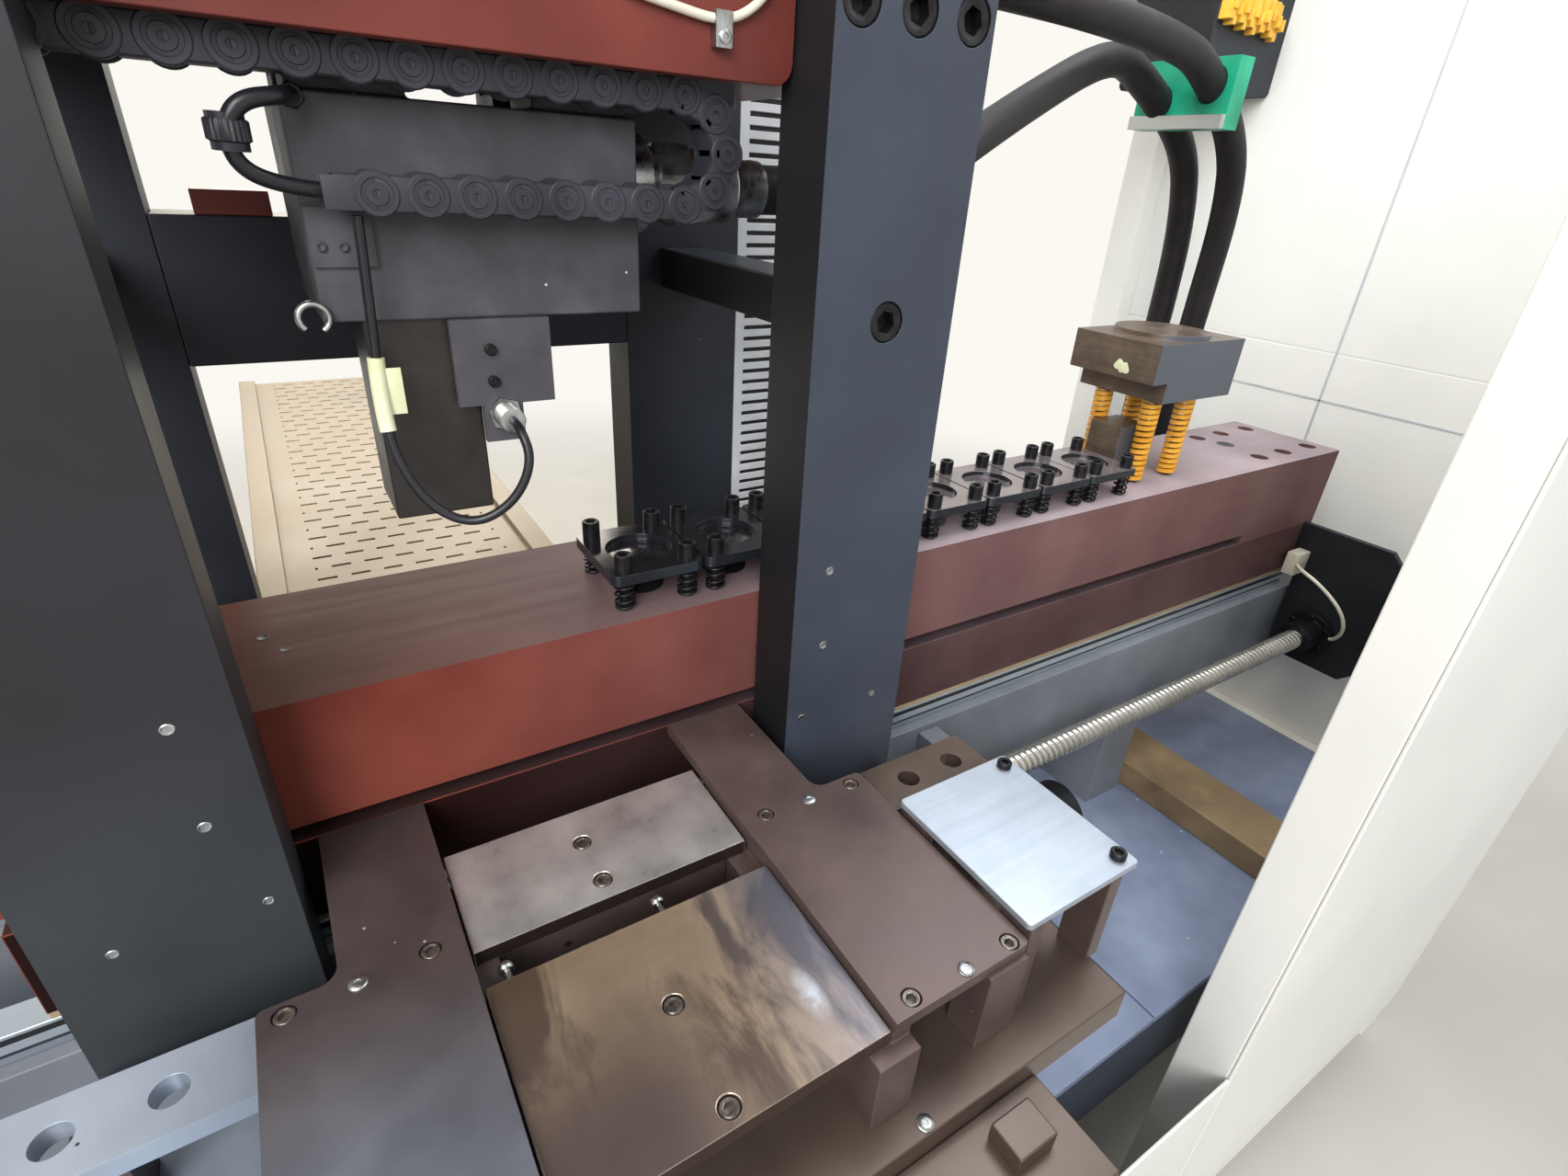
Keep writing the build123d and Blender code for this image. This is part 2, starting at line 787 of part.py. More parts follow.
def station_corners(x):
    """The four screw axes of a station."""
    return [(x + i * station_screw_x, station_y + j * station_screw_y) for i in (-1, 1) for j in (-1, 1)]


def punch_station(x):
    """One spring-lifted punch plate with its punch hanging in the open hole."""
    half_x, half_y = station_width / 2, station_depth / 2
    plate = block((x - half_x, x + half_x), (station_y - half_y, station_y + half_y), (plate_bottom, plate_top))
    plate = fillet(plate.edges().filter_by(Axis.Z), 8)
    plate -= upright(x, station_y, (plate_bottom + station_rim, plate_top), station_hole)
    plate -= upright(x, station_y, (plate_bottom, plate_top), punch_diameter)
    for cx, cy in station_corners(x):
        plate -= upright(cx, cy, (plate_bottom, plate_top), station_screw_shank + 2 * guide_clearance)
    top = plate_bottom + station_rim
    punch = upright(x, station_y, (slot_top + punch_retraction, top), punch_diameter)
    return [plate, punch]


def station_screws():
    """Shoulder screws on the beam that guide every station plate and stop it under their heads."""
    screws = []
    for x in station_centres:
        for cx, cy in station_corners(x):
            screw = upright(cx, cy, (beam_top, plate_top), station_screw_shank)
            screws.append(screw + upright(cx, cy, (plate_top, plate_top + station_screw_head_height), station_screw_head))
    return screws


def spring(x, y, z, diameter, bore):
    """A coil spring's closed outer shape: a sleeve around its guide."""
    return upright(x, y, z, diameter) - upright(x, y, z, bore)


def station_springs():
    """The lifting springs around the station screws."""
    level = beam_top, plate_bottom
    bore = station_screw_shank + spring_clearance
    return [spring(cx, cy, level, station_spring_diameter, bore)
            for x in station_centres for cx, cy in station_corners(x)]


def forming_springs():
    """Four die springs between the beam and the forming block."""
    half = former_spring_spacing / 2
    middle = former_front + former_depth / 2
    level = beam_top, former_underside
    return [spring(former_x + i * half, middle + j * half, level, former_spring_diameter, former_spring_diameter / 2)
            for i in (-1, 1) for j in (-1, 1)]


def forming_guide():
    """The guide column between the forming springs, which ends below the block."""
    middle = former_front + former_depth / 2
    half_x, half_y = former_stem_width / 2, former_stem_depth / 2
    x = former_x + former_stem_offset
    return [block((x - half_x, x + half_x), (middle - half_y, middle + half_y),
                  (beam_top, former_underside - former_stem_gap))]


def forming_block():
    """The forming block: a stepped body with a wide top and a thin round pad."""
    middle = former_front + former_depth / 2
    top = former_underside + former_height
    half = former_width / 2
    y = former_front, former_front + former_depth
    body = block((former_x - half, former_x + half), y, (former_underside + former_step, top))
    body += block((former_x - half + former_wing, former_x + half), y, (former_underside, former_underside + former_step))
    body += upright(former_x, middle, (top, top + former_pad_height), former_pad)
    return [body]


def head_block():
    """The punch head with its four carriages, bored through for the ram."""
    back = head_front + head_depth
    body = block((-head_half_width, head_half_width), (head_front, back), (head_underside, head_top))
    middle = (head_front + back) / 2
    rail_low = crown_underside - head_rail_height
    half = head_rail_width / 2
    for side in (-1, 1):
        y = middle + side * head_rail_spacing / 2
        for x in (-70, 70):
            carriage = block((x - 32, x + 32), (y - half - 16, y + half + 16), (head_top, crown_underside - 8))
            channel = block((x - 32, x + 32), (y - half - carriage_gap, y + half + carriage_gap),
                            (rail_low - carriage_gap, crown_underside))
            body += carriage - channel
    reach = ram_size / 2 + ram_clearance
    top = ram_underside + ram_length + ram_stroke_up + 1
    body -= block((ram_x - reach, ram_x + reach), (station_y - reach, station_y + reach), (head_underside, top))
    return [body]


def ram():
    """The square ram that slides out of the head."""
    half = ram_size / 2
    return [block((ram_x - half, ram_x + half), (station_y - half, station_y + half),
                  (ram_underside, ram_underside + ram_length))]


def chain_run(links, first, heading, offset):
    """Side outline of a row of links: round discs joined by narrower webs, along one straight run."""
    outline = None
    half = chain_height / 2
    for i in range(links):
        x = first + heading * chain_pitch * i
        disc = Pos(x, offset) * Circle(half)
        outline = disc if outline is None else outline + disc
        if i < links - 1:
            outline += Pos(x + heading * chain_pitch / 2, offset) * Rectangle(chain_pitch, chain_height * 0.72)
    return outline


def energy_chain():
    """The cable carrier: an upper run held at its left end, a half turn, and a lower run held by the head."""
    upper_z = chain_bend_z + chain_bend
    lower_z = chain_bend_z - chain_bend
    upper_links = int((chain_bend_x - chain_fixed_x) / chain_pitch) + 1
    lower_links = int((chain_bend_x - chain_head_x) / chain_pitch) + 1
    outline = chain_run(upper_links, chain_bend_x, -1, upper_z)
    outline += chain_run(lower_links, chain_bend_x, -1, lower_z)
    bend_links = 4
    web = chain_height * 0.36
    turn = Pos(chain_bend_x, chain_bend_z) * (Circle(chain_bend + web) - Circle(chain_bend - web))
    reach = chain_bend + chain_height
    turn &= Pos(chain_bend_x + reach / 2, chain_bend_z) * Rectangle(reach, 2 * reach)
    outline += turn
    for i in range(1, bend_links):
        place = Rot(0, 0, 90 - 180 * i / bend_links) * Pos(chain_bend, 0)
        outline += Pos(chain_bend_x, chain_bend_z) * place * Circle(chain_height / 2)
    face = Plane.XZ.offset(-(chain_front + chain_width)) * outline
    return [extrude(face, chain_width)]


def head_fitting():
    """The stepped hydraulic fitting on the head's right side, pointing along the beam."""
    x = head_half_width
    fitting = along_x((x, x + 22), fitting_y, fitting_z, fitting_diameter + 14)
    fitting += along_x((x + 22, x + 98), fitting_y, fitting_z, fitting_diameter)
    fitting += along_x((x + 98, x + fitting_length), fitting_y, fitting_z, hose_diameter + 6)
    return [fitting]


def hose_fittings():
    """The crown's hose fitting and the two bulkhead fittings on the bed."""
    start = hose_b_route[0]
    crown_port = along_x((crown_half, crown_half + 16), start[1], start[2], fitting_diameter)
    crown_port += along_x((crown_half + 16, start[0]), start[1], start[2], hose_diameter + 6)
    ports = [crown_port]
    for route in (hose_a_route, hose_b_route):
        x, y, z = route[-1]
        port = upright(x, y, (bed_top, bed_top + 22), fitting_diameter)
        ports.append(port + upright(x, y, (bed_top + 22, z), hose_diameter + 6))
    return ports


def hose_clamp():
    """The twin clamp block that holds both hoses side by side above their bend, with its steel bar below."""
    width = clamp_front, clamp_front + clamp_length
    body = block((clamp_x, clamp_x + clamp_thickness), width, (clamp_bottom, clamp_bottom + clamp_height))
    body += block((clamp_x - clamp_bar_thickness, clamp_x), width, (clamp_bottom, clamp_bottom + clamp_bar_height))
    for route in (hose_a_route, hose_b_route):
        start, end = Vector(*route[clamp_run]), Vector(*route[clamp_run + 1])
        axis = Plane(origin=(start + end) / 2, z_dir=end - start)
        body -= axis * Cylinder(hose_diameter / 2 + guide_clearance, (end - start).length)
    return [body]


def sensor_bracket():
    """The sensor's bent plate under the head's front edge, narrowed below to carry the sensor."""
    back = head_front
    front = back - sensor_plate_thickness
    half = sensor_plate_width / 2
    plate = block((-half, half), (front, back), (sensor_plate_bottom, head_underside))
    plate += block((sensor_x - 14, sensor_x + 14), (front, back), (sensor_z - 21, sensor_plate_bottom))
    ram_side = ram_x + ram_size / 2 + 3
    plate += block((ram_side, half), (front, back + 42), (head_underside - sensor_plate_thickness, head_underside))
    return [plate - along_y(sensor_x, (front, back), sensor_z, sensor_diameter)]


def proximity_sensor():
    """The threaded sensor with its two nuts."""
    front = head_front - sensor_plate_thickness
    body = along_y(sensor_x, (sensor_cable_route[0][1], head_front + 26), sensor_z, sensor_diameter)
    body += along_y(sensor_x, (front - 6, front), sensor_z, sensor_diameter + 6)
    body += along_y(sensor_x, (head_front, head_front + 6), sensor_z, sensor_diameter + 6)
    return [body]


def raised(points, level):
    """Route points whose heights are given from a level of the machine."""
    return [(x, y, z + level) for x, y, z in points]


# Hand-chosen routes of the free hoses and cables
fitting_end = head_half_width + fitting_length
port_end = crown_half + 98
hose_a_route = raised([(fitting_end, fitting_y, 0), (fitting_end + 150, fitting_y, 0), (600, 64, 88)], fitting_z)
hose_a_route += [(805, 116, 1555), (900, 140, 1538), (1050, 152, 1470), (1110, 166, 1372), (1140, 180, 1240),
                 (1150, 190, 1060), (1156, 190, 800), (1156, 190, 560)]
hose_b_route = raised([(port_end, 20, 108), (560, 20, 108), (720, 42, 108)], crown_underside)
hose_b_route += [(840, 56, 1562), (915, 67, 1552), (1065, 88, 1476), (1120, 104, 1385), (1142, 120, 1255),
                 (1150, 128, 1080), (1156, 129, 800), (1156, 129, 560)]
sensor_cable_route = raised([(-4, -92, 0), (-4, -108, 0), (0, -117, -22), (-14, -116, -50), (-41, -110, -66),
                             (-67, -101, -53), (-83, -91, -19), (-85, -83, 20), (-81, -80, 76),
                             (-79, -81, 128.5)], sensor_z)
power_cable_route = raised([(-80.5, -81, 0), (-108, -81, 0), (-137, -89, 11), (-132, -96, 41), (-100, -90, 47),
                            (-100, -62, 47)], chain_bend_z - chain_bend)

builders = {
    "bed_frame": bed_frame, "bed_plates": bed_plates, "levelling_feet": levelling_feet,
    "portal_posts": portal_posts, "socket_screws": socket_screws, "crown_beam": crown_beam,
    "portal_ties": portal_ties, "stop_block": stop_block, "guide_rails": guide_rails,
    "rail_supports": rail_supports, "screw_bearings": screw_bearings, "servo_motor": servo_motor,
    "cross_tube": cross_tube, "base_plates": base_plates, "infeed_walls": infeed_walls,
    "infeed_plate": infeed_plate, "shear_plate": shear_plate, "table_plates": table_plates,
    "side_bars": side_bars, "cover_plate": cover_plate, "table_pins": table_pins,
    "cable_duct": cable_duct, "outfeed_deck": outfeed_deck, "outfeed_frame": outfeed_frame,
    "enclosure_frame": enclosure_frame, "side_walls": side_walls, "front_panel": front_panel,
    "upper_panels": upper_panels, "terminal_box": terminal_box, "hose_clamp": hose_clamp,
    "hose_fittings": hose_fittings, "energy_chain": energy_chain,
    "beam_lower_plate": beam_lower_plate, "beam_upper_plate": beam_upper_plate,
    "wear_strips": wear_strips, "nut_plate": nut_plate, "ball_nut": ball_nut,
    "ball_screw": ball_screw, "station_screws": station_screws, "station_springs": station_springs,
    "forming_guide": forming_guide, "forming_springs": forming_springs, "forming_block": forming_block,
    "head_block": head_block, "ram": ram, "head_fitting": head_fitting,
    "sensor_bracket": sensor_bracket, "proximity_sensor": proximity_sensor,
}
cables = {
    "hose_a": (hose_a_route, hose_diameter), "hose_b": (hose_b_route, hose_diameter),
    "sensor_cable": (sensor_cable_route, sensor_cable_diameter),
    "power_cable": (power_cable_route, power_cable_diameter),
}


def write(name, solids):
    """Moves the solids so that the origin lies under the machine's middle, and writes them."""
    moved = [Pos(0, shift_to_centre, 0) * solid for solid in solids]
    export_step(Compound(children=moved, label=name) if len(moved) > 1 else moved[0], f"parts/{name}.step")


os.makedirs("parts", exist_ok=True)
for name, builder in builders.items():
    write(name, builder())
for i, x in enumerate(station_centres):
    write(f"punch_station_{i + 1}", punch_station(x))
for name, (route, diameter) in cables.items():
    tube, length, least_radius = cable(route, diameter)
    write(name, [tube])
    print(name, "length", round(length), "least radius", round(least_radius))
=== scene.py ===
import bmesh
import bpy
from functools import partial
from math import cos, pi, radians, sin
from mathutils import Matrix, Vector


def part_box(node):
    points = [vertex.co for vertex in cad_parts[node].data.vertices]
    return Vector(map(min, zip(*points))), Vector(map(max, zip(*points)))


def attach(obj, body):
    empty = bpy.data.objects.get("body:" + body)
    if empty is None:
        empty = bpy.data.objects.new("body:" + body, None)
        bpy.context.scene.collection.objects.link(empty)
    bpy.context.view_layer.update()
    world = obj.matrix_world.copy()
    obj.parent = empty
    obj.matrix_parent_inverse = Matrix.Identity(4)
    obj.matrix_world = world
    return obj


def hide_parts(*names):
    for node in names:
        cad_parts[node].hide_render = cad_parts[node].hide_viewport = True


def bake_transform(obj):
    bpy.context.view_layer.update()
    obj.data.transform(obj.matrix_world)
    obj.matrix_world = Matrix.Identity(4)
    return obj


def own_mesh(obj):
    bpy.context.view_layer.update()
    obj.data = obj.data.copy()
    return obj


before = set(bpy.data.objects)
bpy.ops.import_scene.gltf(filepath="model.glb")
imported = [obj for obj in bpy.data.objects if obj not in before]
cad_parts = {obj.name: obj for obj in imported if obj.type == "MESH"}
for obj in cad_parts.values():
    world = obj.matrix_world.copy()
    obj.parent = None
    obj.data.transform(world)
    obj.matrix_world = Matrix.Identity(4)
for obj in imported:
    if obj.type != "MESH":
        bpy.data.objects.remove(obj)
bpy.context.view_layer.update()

# Camera.
# It stands at chest height at the open side, close to the infeed table, and looks right, in and down
# through a wide lens.


def placed(name, data):
    """A new object with its data, in the scene."""
    made = bpy.data.objects.new(name, data)
    bpy.context.scene.collection.objects.link(made)
    return made


camera_data = bpy.data.cameras.new("camera")
camera_data.sensor_width = 36
camera_data.lens = 18.07
camera_data.clip_start = 0.01
camera = placed("camera", camera_data)
sight = Matrix(((0.84584, -0.53065, 0.05452), (0.20634, 0.41971, 0.88389), (-0.49191, -0.73638, 0.46451)))
camera.matrix_world = Matrix.Translation((-0.14, -1.111, 1.4)) @ sight.transposed().to_4x4()
bpy.context.scene.camera = camera

# Studio.
# A pale painted floor, an even pale surround, and large soft lamps: one over the operator's shoulder,
# one over the outfeed side, and two inside the guard's roof.
bpy.context.scene.view_settings.view_transform = "Standard"


def linear(code):
    """An sRGB hex colour as the linear colour that a socket takes."""
    parts = [int(code[i:i + 2], 16) / 255 for i in (1, 3, 5)]
    return [p / 12.92 if p <= 0.04045 else ((p + 0.055) / 1.055) ** 2.4 for p in parts] + [1.0]


def node(tree, kind, inputs=(), stops=(), **settings):
    """Adds a node, or takes a given one, and sets its settings, values, links and ramp colours."""
    made = tree.nodes.new("ShaderNode" + kind) if isinstance(kind, str) else kind
    for key, value in settings.items():
        setattr(made, key, value)
    for key, value in dict(inputs).items():
        if isinstance(value, bpy.types.Node):
            value = next(socket for socket in value.outputs if socket.enabled)
        if isinstance(value, bpy.types.NodeSocket):
            tree.links.new(value, made.inputs[key])
        else:
            made.inputs[key].default_value = linear(value) if isinstance(value, str) else value
    for i, (place, code) in enumerate(stops):
        if i >= len(made.color_ramp.elements):
            made.color_ramp.elements.new(1.0)
        made.color_ramp.elements[i].position = place
        made.color_ramp.elements[i].color = linear(code)
    return made


def seen_rays(add):
    """1 for a ray that sees a thing, straight or mirrored, and 0 for one that only lights."""
    rays = add("LightPath")
    mirrored = add("Math", {0: rays.outputs["Is Glossy Ray"], 1: rays.outputs["Is Transmission Ray"]},
                   operation="MAXIMUM")
    return add("Math", {0: rays.outputs["Is Camera Ray"], 1: mirrored}, operation="MAXIMUM")


def spread(value, start, end, low=0.0, high=1.0):
    """The inputs of a range node that takes start to end onto low to high."""
    return {"Value": value, "From Min": start, "From Max": end, "To Min": low, "To Max": high}


def patches(add, place, sizes_mm, detail, rough=0.5, distortion=0.0):
    """Noise whose patches have one size in millimetres, or one along each axis."""
    sizes = sizes_mm if isinstance(sizes_mm, tuple) else (sizes_mm,) * 3
    drawn = add("Mapping", {"Vector": place, "Scale": [1000 / mm for mm in sizes]})
    return add("TexNoise", {
        "Vector": drawn, "Scale": 1.0, "Detail": detail, "Roughness": rough, "Distortion": distortion})


pale_surround = "#fbf9f2"
world = bpy.data.worlds.new("studio")
bpy.context.scene.world = world
world.use_nodes = True
world.node_tree.nodes.clear()
add = partial(node, world.node_tree)
lighting = add("Background", {"Color": "#e9eef5", "Strength": 0.64})
backdrop = add("Background", {"Color": pale_surround, "Strength": 1.0})
add("OutputWorld", {"Surface": add("MixShader", {0: seen_rays(add), 1: lighting, 2: backdrop})})


def blank(name):
    """A new material, its own `add` for nodes, its shader, and the piece's coordinates in metres."""
    made = bpy.data.materials.new(name)
    made.use_nodes = True
    made.node_tree.nodes.clear()
    add = partial(node, made.node_tree)
    shader = add("BsdfPrincipled", name="shader")
    add("OutputMaterial", {"Surface": shader}, name="output")
    return made, add, shader, add("TexCoord").outputs["Object"]


# Painted concrete: matt and pale, with a slow drift of tone. Far off it fades into the surround, so that
# no horizon shows.
floor_paint, add, shader, place = blank("painted_concrete_rolled")
drift = patches(add, place, 400, 5.0)
tone = add("ValToRGB", {"Fac": drift}, [(0.35, "#d2cdc4"), (0.65, "#d9d4cb")])
add(shader, {"Base Color": tone, "Roughness": 0.8})
distance = add("VectorMath", {0: place}, operation="LENGTH")
far = add("MapRange", spread(distance, 2.2, 4.5), interpolation_type="SMOOTHSTEP")
haze = add("Emission", {"Color": pale_surround, "Strength": 1.0})
faded = add("Math", {0: far, 1: seen_rays(add)}, operation="MULTIPLY")
floor_output = floor_paint.node_tree.nodes["output"]
add(floor_output, {"Surface": add("MixShader", {0: faded, 1: shader, 2: haze})})
floor_mesh = bmesh.new()
bmesh.ops.create_grid(floor_mesh, x_segments=8, y_segments=8, size=9.0)
floor_data = bpy.data.meshes.new("studio_floor")
floor_mesh.to_mesh(floor_data)
floor_mesh.free()
floor_data.materials.append(floor_paint)
floor = placed("studio_floor", floor_data)
floor.location.z = -0.001


def lamp(name, place, target, size, power, colour):
    """A square soft lamp that faces a target and isn't seen itself."""
    data = bpy.data.lights.new(name, "AREA")
    data.size, data.energy, data.color = size, power, linear(colour)[:3]
    made = placed(name, data)
    made.location = place
    made.rotation_euler = (Vector(target) - Vector(place)).to_track_quat("-Z", "Y").to_euler()
    made.visible_camera = False


lamp("shoulder_lamp", (-1.6, -2.8, 2.7), (0.1, -0.5, 0.9), 1.8, 108, "#ffffff")
lamp("roof_lamp_right", (0.75, -0.55, 2.0), (0.75, -0.45, 0.8), 0.7, 11, "#f4f8ff")
lamp("roof_lamp_left", (-0.55, -0.72, 2.0), (-0.1, -0.5, 0.9), 0.6, 9, "#fff8ee")
lamp("outfeed_lamp", (0.4, 3.0, 2.7), (0.1, 0.2, 1.0), 1.8, 66, "#fff6e6")

# Hydraulic fittings.
# Turned, zinc-plated steel unions with crimped sleeves over the hose ends, screwed into the head, the
# crown and the bed.


def toned(add, place, pattern, stops, changes):
    """The colours of a pattern. Each change (axis, start, end, stops) gives it others along an axis."""
    tone = add("ValToRGB", {"Fac": pattern}, stops)
    for axis, start, end, others in changes:
        spot = add("SeparateXYZ", {"Vector": place}).outputs[axis]
        along = add("MapRange", spread(spot, start, end), interpolation_type="SMOOTHSTEP")
        other = add("ValToRGB", {"Fac": pattern}, others)
        tone = add("Mix", {0: along, 6: tone, 7: other}, data_type="RGBA")
    return tone


def machined(name, stops, drift_mm, rough, lines_mm, relief=0.0, metallic=1.0, changes=()):
    """Cut, ground or brushed metal: cloudy over drift_mm, with tool lines of a size along each axis."""
    made, add, shader, place = blank(name)
    lines = patches(add, place, lines_mm, 3.0)
    both = add("Mix", {0: 0.25, 2: patches(add, place, drift_mm, 6.0, 0.6), 3: lines})
    add(shader, {
        "Base Color": toned(add, place, both, stops, changes), "Metallic": metallic,
        "Roughness": add("MapRange", spread(both, 0.3, 0.7, *rough)),
        "Normal": add("Bump", {"Height": lines, "Strength": relief, "Distance": 0.0003})})
    return made


# Zinc plate on turned steel: silvery with grey clouds and fine turning lines, half glossy.
zinc = machined(
    "zinc_plated_steel_turned", [(0.35, "#8e9192"), (0.6, "#c2c4c4")], 14, (0.22, 0.42), (0.8, 6, 6),
    relief=0.15)
row_origin_y = 460


def at(x, y, z):
    """A point of the drawing, in millimetres from under the portal, in the row frame's metres."""
    return Vector((x, y - row_origin_y, z)) / 1000


def turned(mesh, base, axis, profile, sides=32):
    """Adds a turned form: rings of (radius, height) in mm along an axis. A radius may be a function."""
    base, axis = at(*base), Vector(axis).normalized()
    side = axis.orthogonal().normalized()
    other = axis.cross(side)
    previous = None
    for radius, height in profile:
        centre = base + axis * height / 1000
        if radius == 0:
            ring = [mesh.verts.new(centre)]
        else:
            ring = []
            for k in range(sides):
                angle = 2 * pi * k / sides
                reach = (radius(angle) if callable(radius) else radius) / 1000
                outward = side * (cos(angle) * reach) + other * (sin(angle) * reach)
                ring.append(mesh.verts.new(centre + outward))
        if previous:
            for k in range(sides):
                low = [previous[k % len(previous)], previous[(k + 1) % len(previous)]]
                high = [ring[(k + 1) % len(ring)], ring[k % len(ring)]]
                mesh.faces.new(list(dict.fromkeys(low + high)))
        previous = ring


def hexagon(across):
    """The radius of a hexagon of that width across its flats, at any angle."""
    return lambda angle: across / 2 / cos(angle % (pi / 3) - pi / 6)


def piece(name, mesh, body, finish, stands_for=(), crease=40):
    """Makes a named piece from a mesh; it rides on a body, or stays unattached if there is none."""
    bmesh.ops.recalc_face_normals(mesh, faces=mesh.faces)
    data = bpy.data.meshes.new(name)
    mesh.to_mesh(data)
    mesh.free()
    data.materials.append(finish)
    data.shade_smooth()
    data.set_sharp_from_angle(angle=radians(crease))
    made = placed(name, data)
    if body:
        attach(made, body)
    if stands_for:
        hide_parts(*stands_for)
    return made


mesh = bmesh.new()
turned(mesh, (107, -10, 1387), (1, 0, 0), [
    (0, 0), (33, 0), (34, 1), (34, 21), (33, 22), (27, 22), (27, 30), (hexagon(53), 31), (hexagon(53), 60),
    (26, 61), (25, 64), (27, 66), (27, 96), (26, 98), (22, 98), (21.5, 104), (22, 106), (21.5, 108),
    (22, 112), (21.5, 115), (22, 119), (21.5, 127), (20, 128), (0, 128)], 48)
piece("head_fitting_union", mesh, "punch_head", zinc, ["head_fitting"])
mesh = bmesh.new()
crimped = [(22, 0), (22, 8), (21.4, 10), (22, 12), (21.4, 20), (22, 22), (21.4, 30), (22, 34)]
turned(mesh, (298, 20, 1568), (1, 0, 0), [
    (0, 0), (26, 0), (27, 1), (27, 15), (hexagon(50), 16), (hexagon(50), 40),
    *[(radius, height + 50) for radius, height in crimped], (22, 97), (20, 98), (0, 98)], 48)
piece("crown_union", mesh, "frame", zinc, ["hose_fittings"])
for name, y in (("hose_a", 190), ("hose_b", 129)):
    mesh = bmesh.new()
    turned(mesh, (1156, y, 500), (0, 0, 1), [
        (0, 0), (27, 0), (27, 3), (hexagon(48), 4), (hexagon(48), 21), (24, 22),
        *[(radius, height + 24) for radius, height in crimped[:5]], (22, 58), (20, 60), (0, 60)], 48)
    piece(name + "_bed_union", mesh, "frame", zinc, ["hose_fittings"])

# Hydraulic hoses.
# Two braided rubber hoses of 38 mm with a cloth-wrapped cover. They leave the head's and the crown's
# fittings and go over, through the clamp and down to the bed.


def spline_line(name, points):
    """Points along the smooth spline whose control points are a given route."""
    curve = bpy.data.curves.new(name, "CURVE")
    curve.dimensions = "3D"
    curve.resolution_u = 20
    spline = curve.splines.new("NURBS")
    spline.points.add(len(points) - 1)
    for control, point in zip(spline.points, points):
        control.co = (*point, 1)
    spline.order_u = 3
    spline.use_endpoint_u = True
    holder = placed(name, curve)
    bpy.context.view_layer.update()
    line = [v.co.copy() for v in bpy.data.meshes.new_from_object(holder).vertices]
    bpy.data.objects.remove(holder)
    return line


def tube(mesh, line, radius, sides=24):
    """Sweeps a round section along a line. The UV map runs in metres along it and around it."""
    uv = mesh.loops.layers.uv.verify()
    side = (line[1] - line[0]).orthogonal().normalized()
    distance, rings = 0.0, []
    for i, point in enumerate(line):
        ahead = (line[min(i + 1, len(line) - 1)] - line[max(i - 1, 0)]).normalized()
        side = (side - ahead * side.dot(ahead)).normalized()
        other = ahead.cross(side)
        if i:
            distance += (point - line[i - 1]).length
        ring = []
        for k in range(sides):
            angle = 2 * pi * k / sides
            outward = side * (radius * cos(angle)) + other * (radius * sin(angle))
            ring.append(mesh.verts.new(point + outward))
        rings.append((ring, distance))
    around = 2 * pi * radius / sides
    for (low, start), (high, end) in zip(rings, rings[1:]):
        for k in range(sides):
            face = mesh.faces.new((low[k], low[(k + 1) % sides], high[(k + 1) % sides], high[k]))
            for loop, spot in zip(face.loops, ((start, k), (start, k + 1), (end, k + 1), (end, k))):
                loop[uv].uv = spot[0], spot[1] * around
    mesh.faces.new(list(reversed(rings[0][0])))
    mesh.faces.new(rings[-1][0])


# Cured rubber, cloth-wrapped: near black and dull, with pale scuffs and the cloth's spiral print, drawn
# at 6 mm so that it shows.
hose_cover, add, shader, place = blank("cured_rubber_cloth_wrapped")
print_place = add("TexCoord").outputs["UV"]
scuff = patches(add, place, 28, 8.0, 0.7)
wrap = add("TexWave", {
    "Vector": print_place, "Scale": 1000 / 6 / 20, "Distortion": 1.5, "Detail": 2.0},
    bands_direction="DIAGONAL")
add(shader, {
    "Base Color": add("ValToRGB", {"Fac": scuff}, [
        (0.4, "#151214"), (0.6, "#211c1f"), (0.74, "#332e30"), (0.84, "#5c5654")]),
    "Roughness": add("MapRange", spread(scuff, 0.0, 1.0, 0.5, 0.7)),
    "Specular IOR Level": 0.3,
    "Normal": add("Bump", {"Height": wrap, "Strength": 0.35, "Distance": 0.0006})})

hose_diameter = 0.038
hose_a_route = [
    (0.235, -0.47, 1.387), (0.385, -0.47, 1.387), (0.6, -0.396, 1.475), (0.805, -0.344, 1.555),
    (0.9, -0.32, 1.538), (1.05, -0.308, 1.47), (1.11, -0.294, 1.372), (1.14, -0.28, 1.24),
    (1.15, -0.27, 1.06), (1.156, -0.27, 0.8), (1.156, -0.27, 0.56)]
hose_b_route = [
    (0.396, -0.44, 1.568), (0.56, -0.44, 1.568), (0.72, -0.418, 1.568), (0.84, -0.404, 1.562),
    (0.915, -0.393, 1.552), (1.065, -0.372, 1.476), (1.12, -0.356, 1.385), (1.142, -0.34, 1.255),
    (1.15, -0.332, 1.08), (1.156, -0.331, 0.8), (1.156, -0.331, 0.56)]
hoses = (("hose_a", hose_a_route, 1.807, None), ("hose_b", hose_b_route, 1.623, "frame"))
for name, route, length, body in hoses:
    line = spline_line(name, route)
    mesh = bmesh.new()
    tube(mesh, line, hose_diameter / 2, 28)
    hose = piece(name + "_rubber", mesh, body, hose_cover, [name])
    if name == "hose_a":
        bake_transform(hose)

# Sensor cable and power cable.
# The sensor's sheathed cable loops below its end and climbs to the energy chain; the thicker power cable
# turns from the chain's end up into the head.


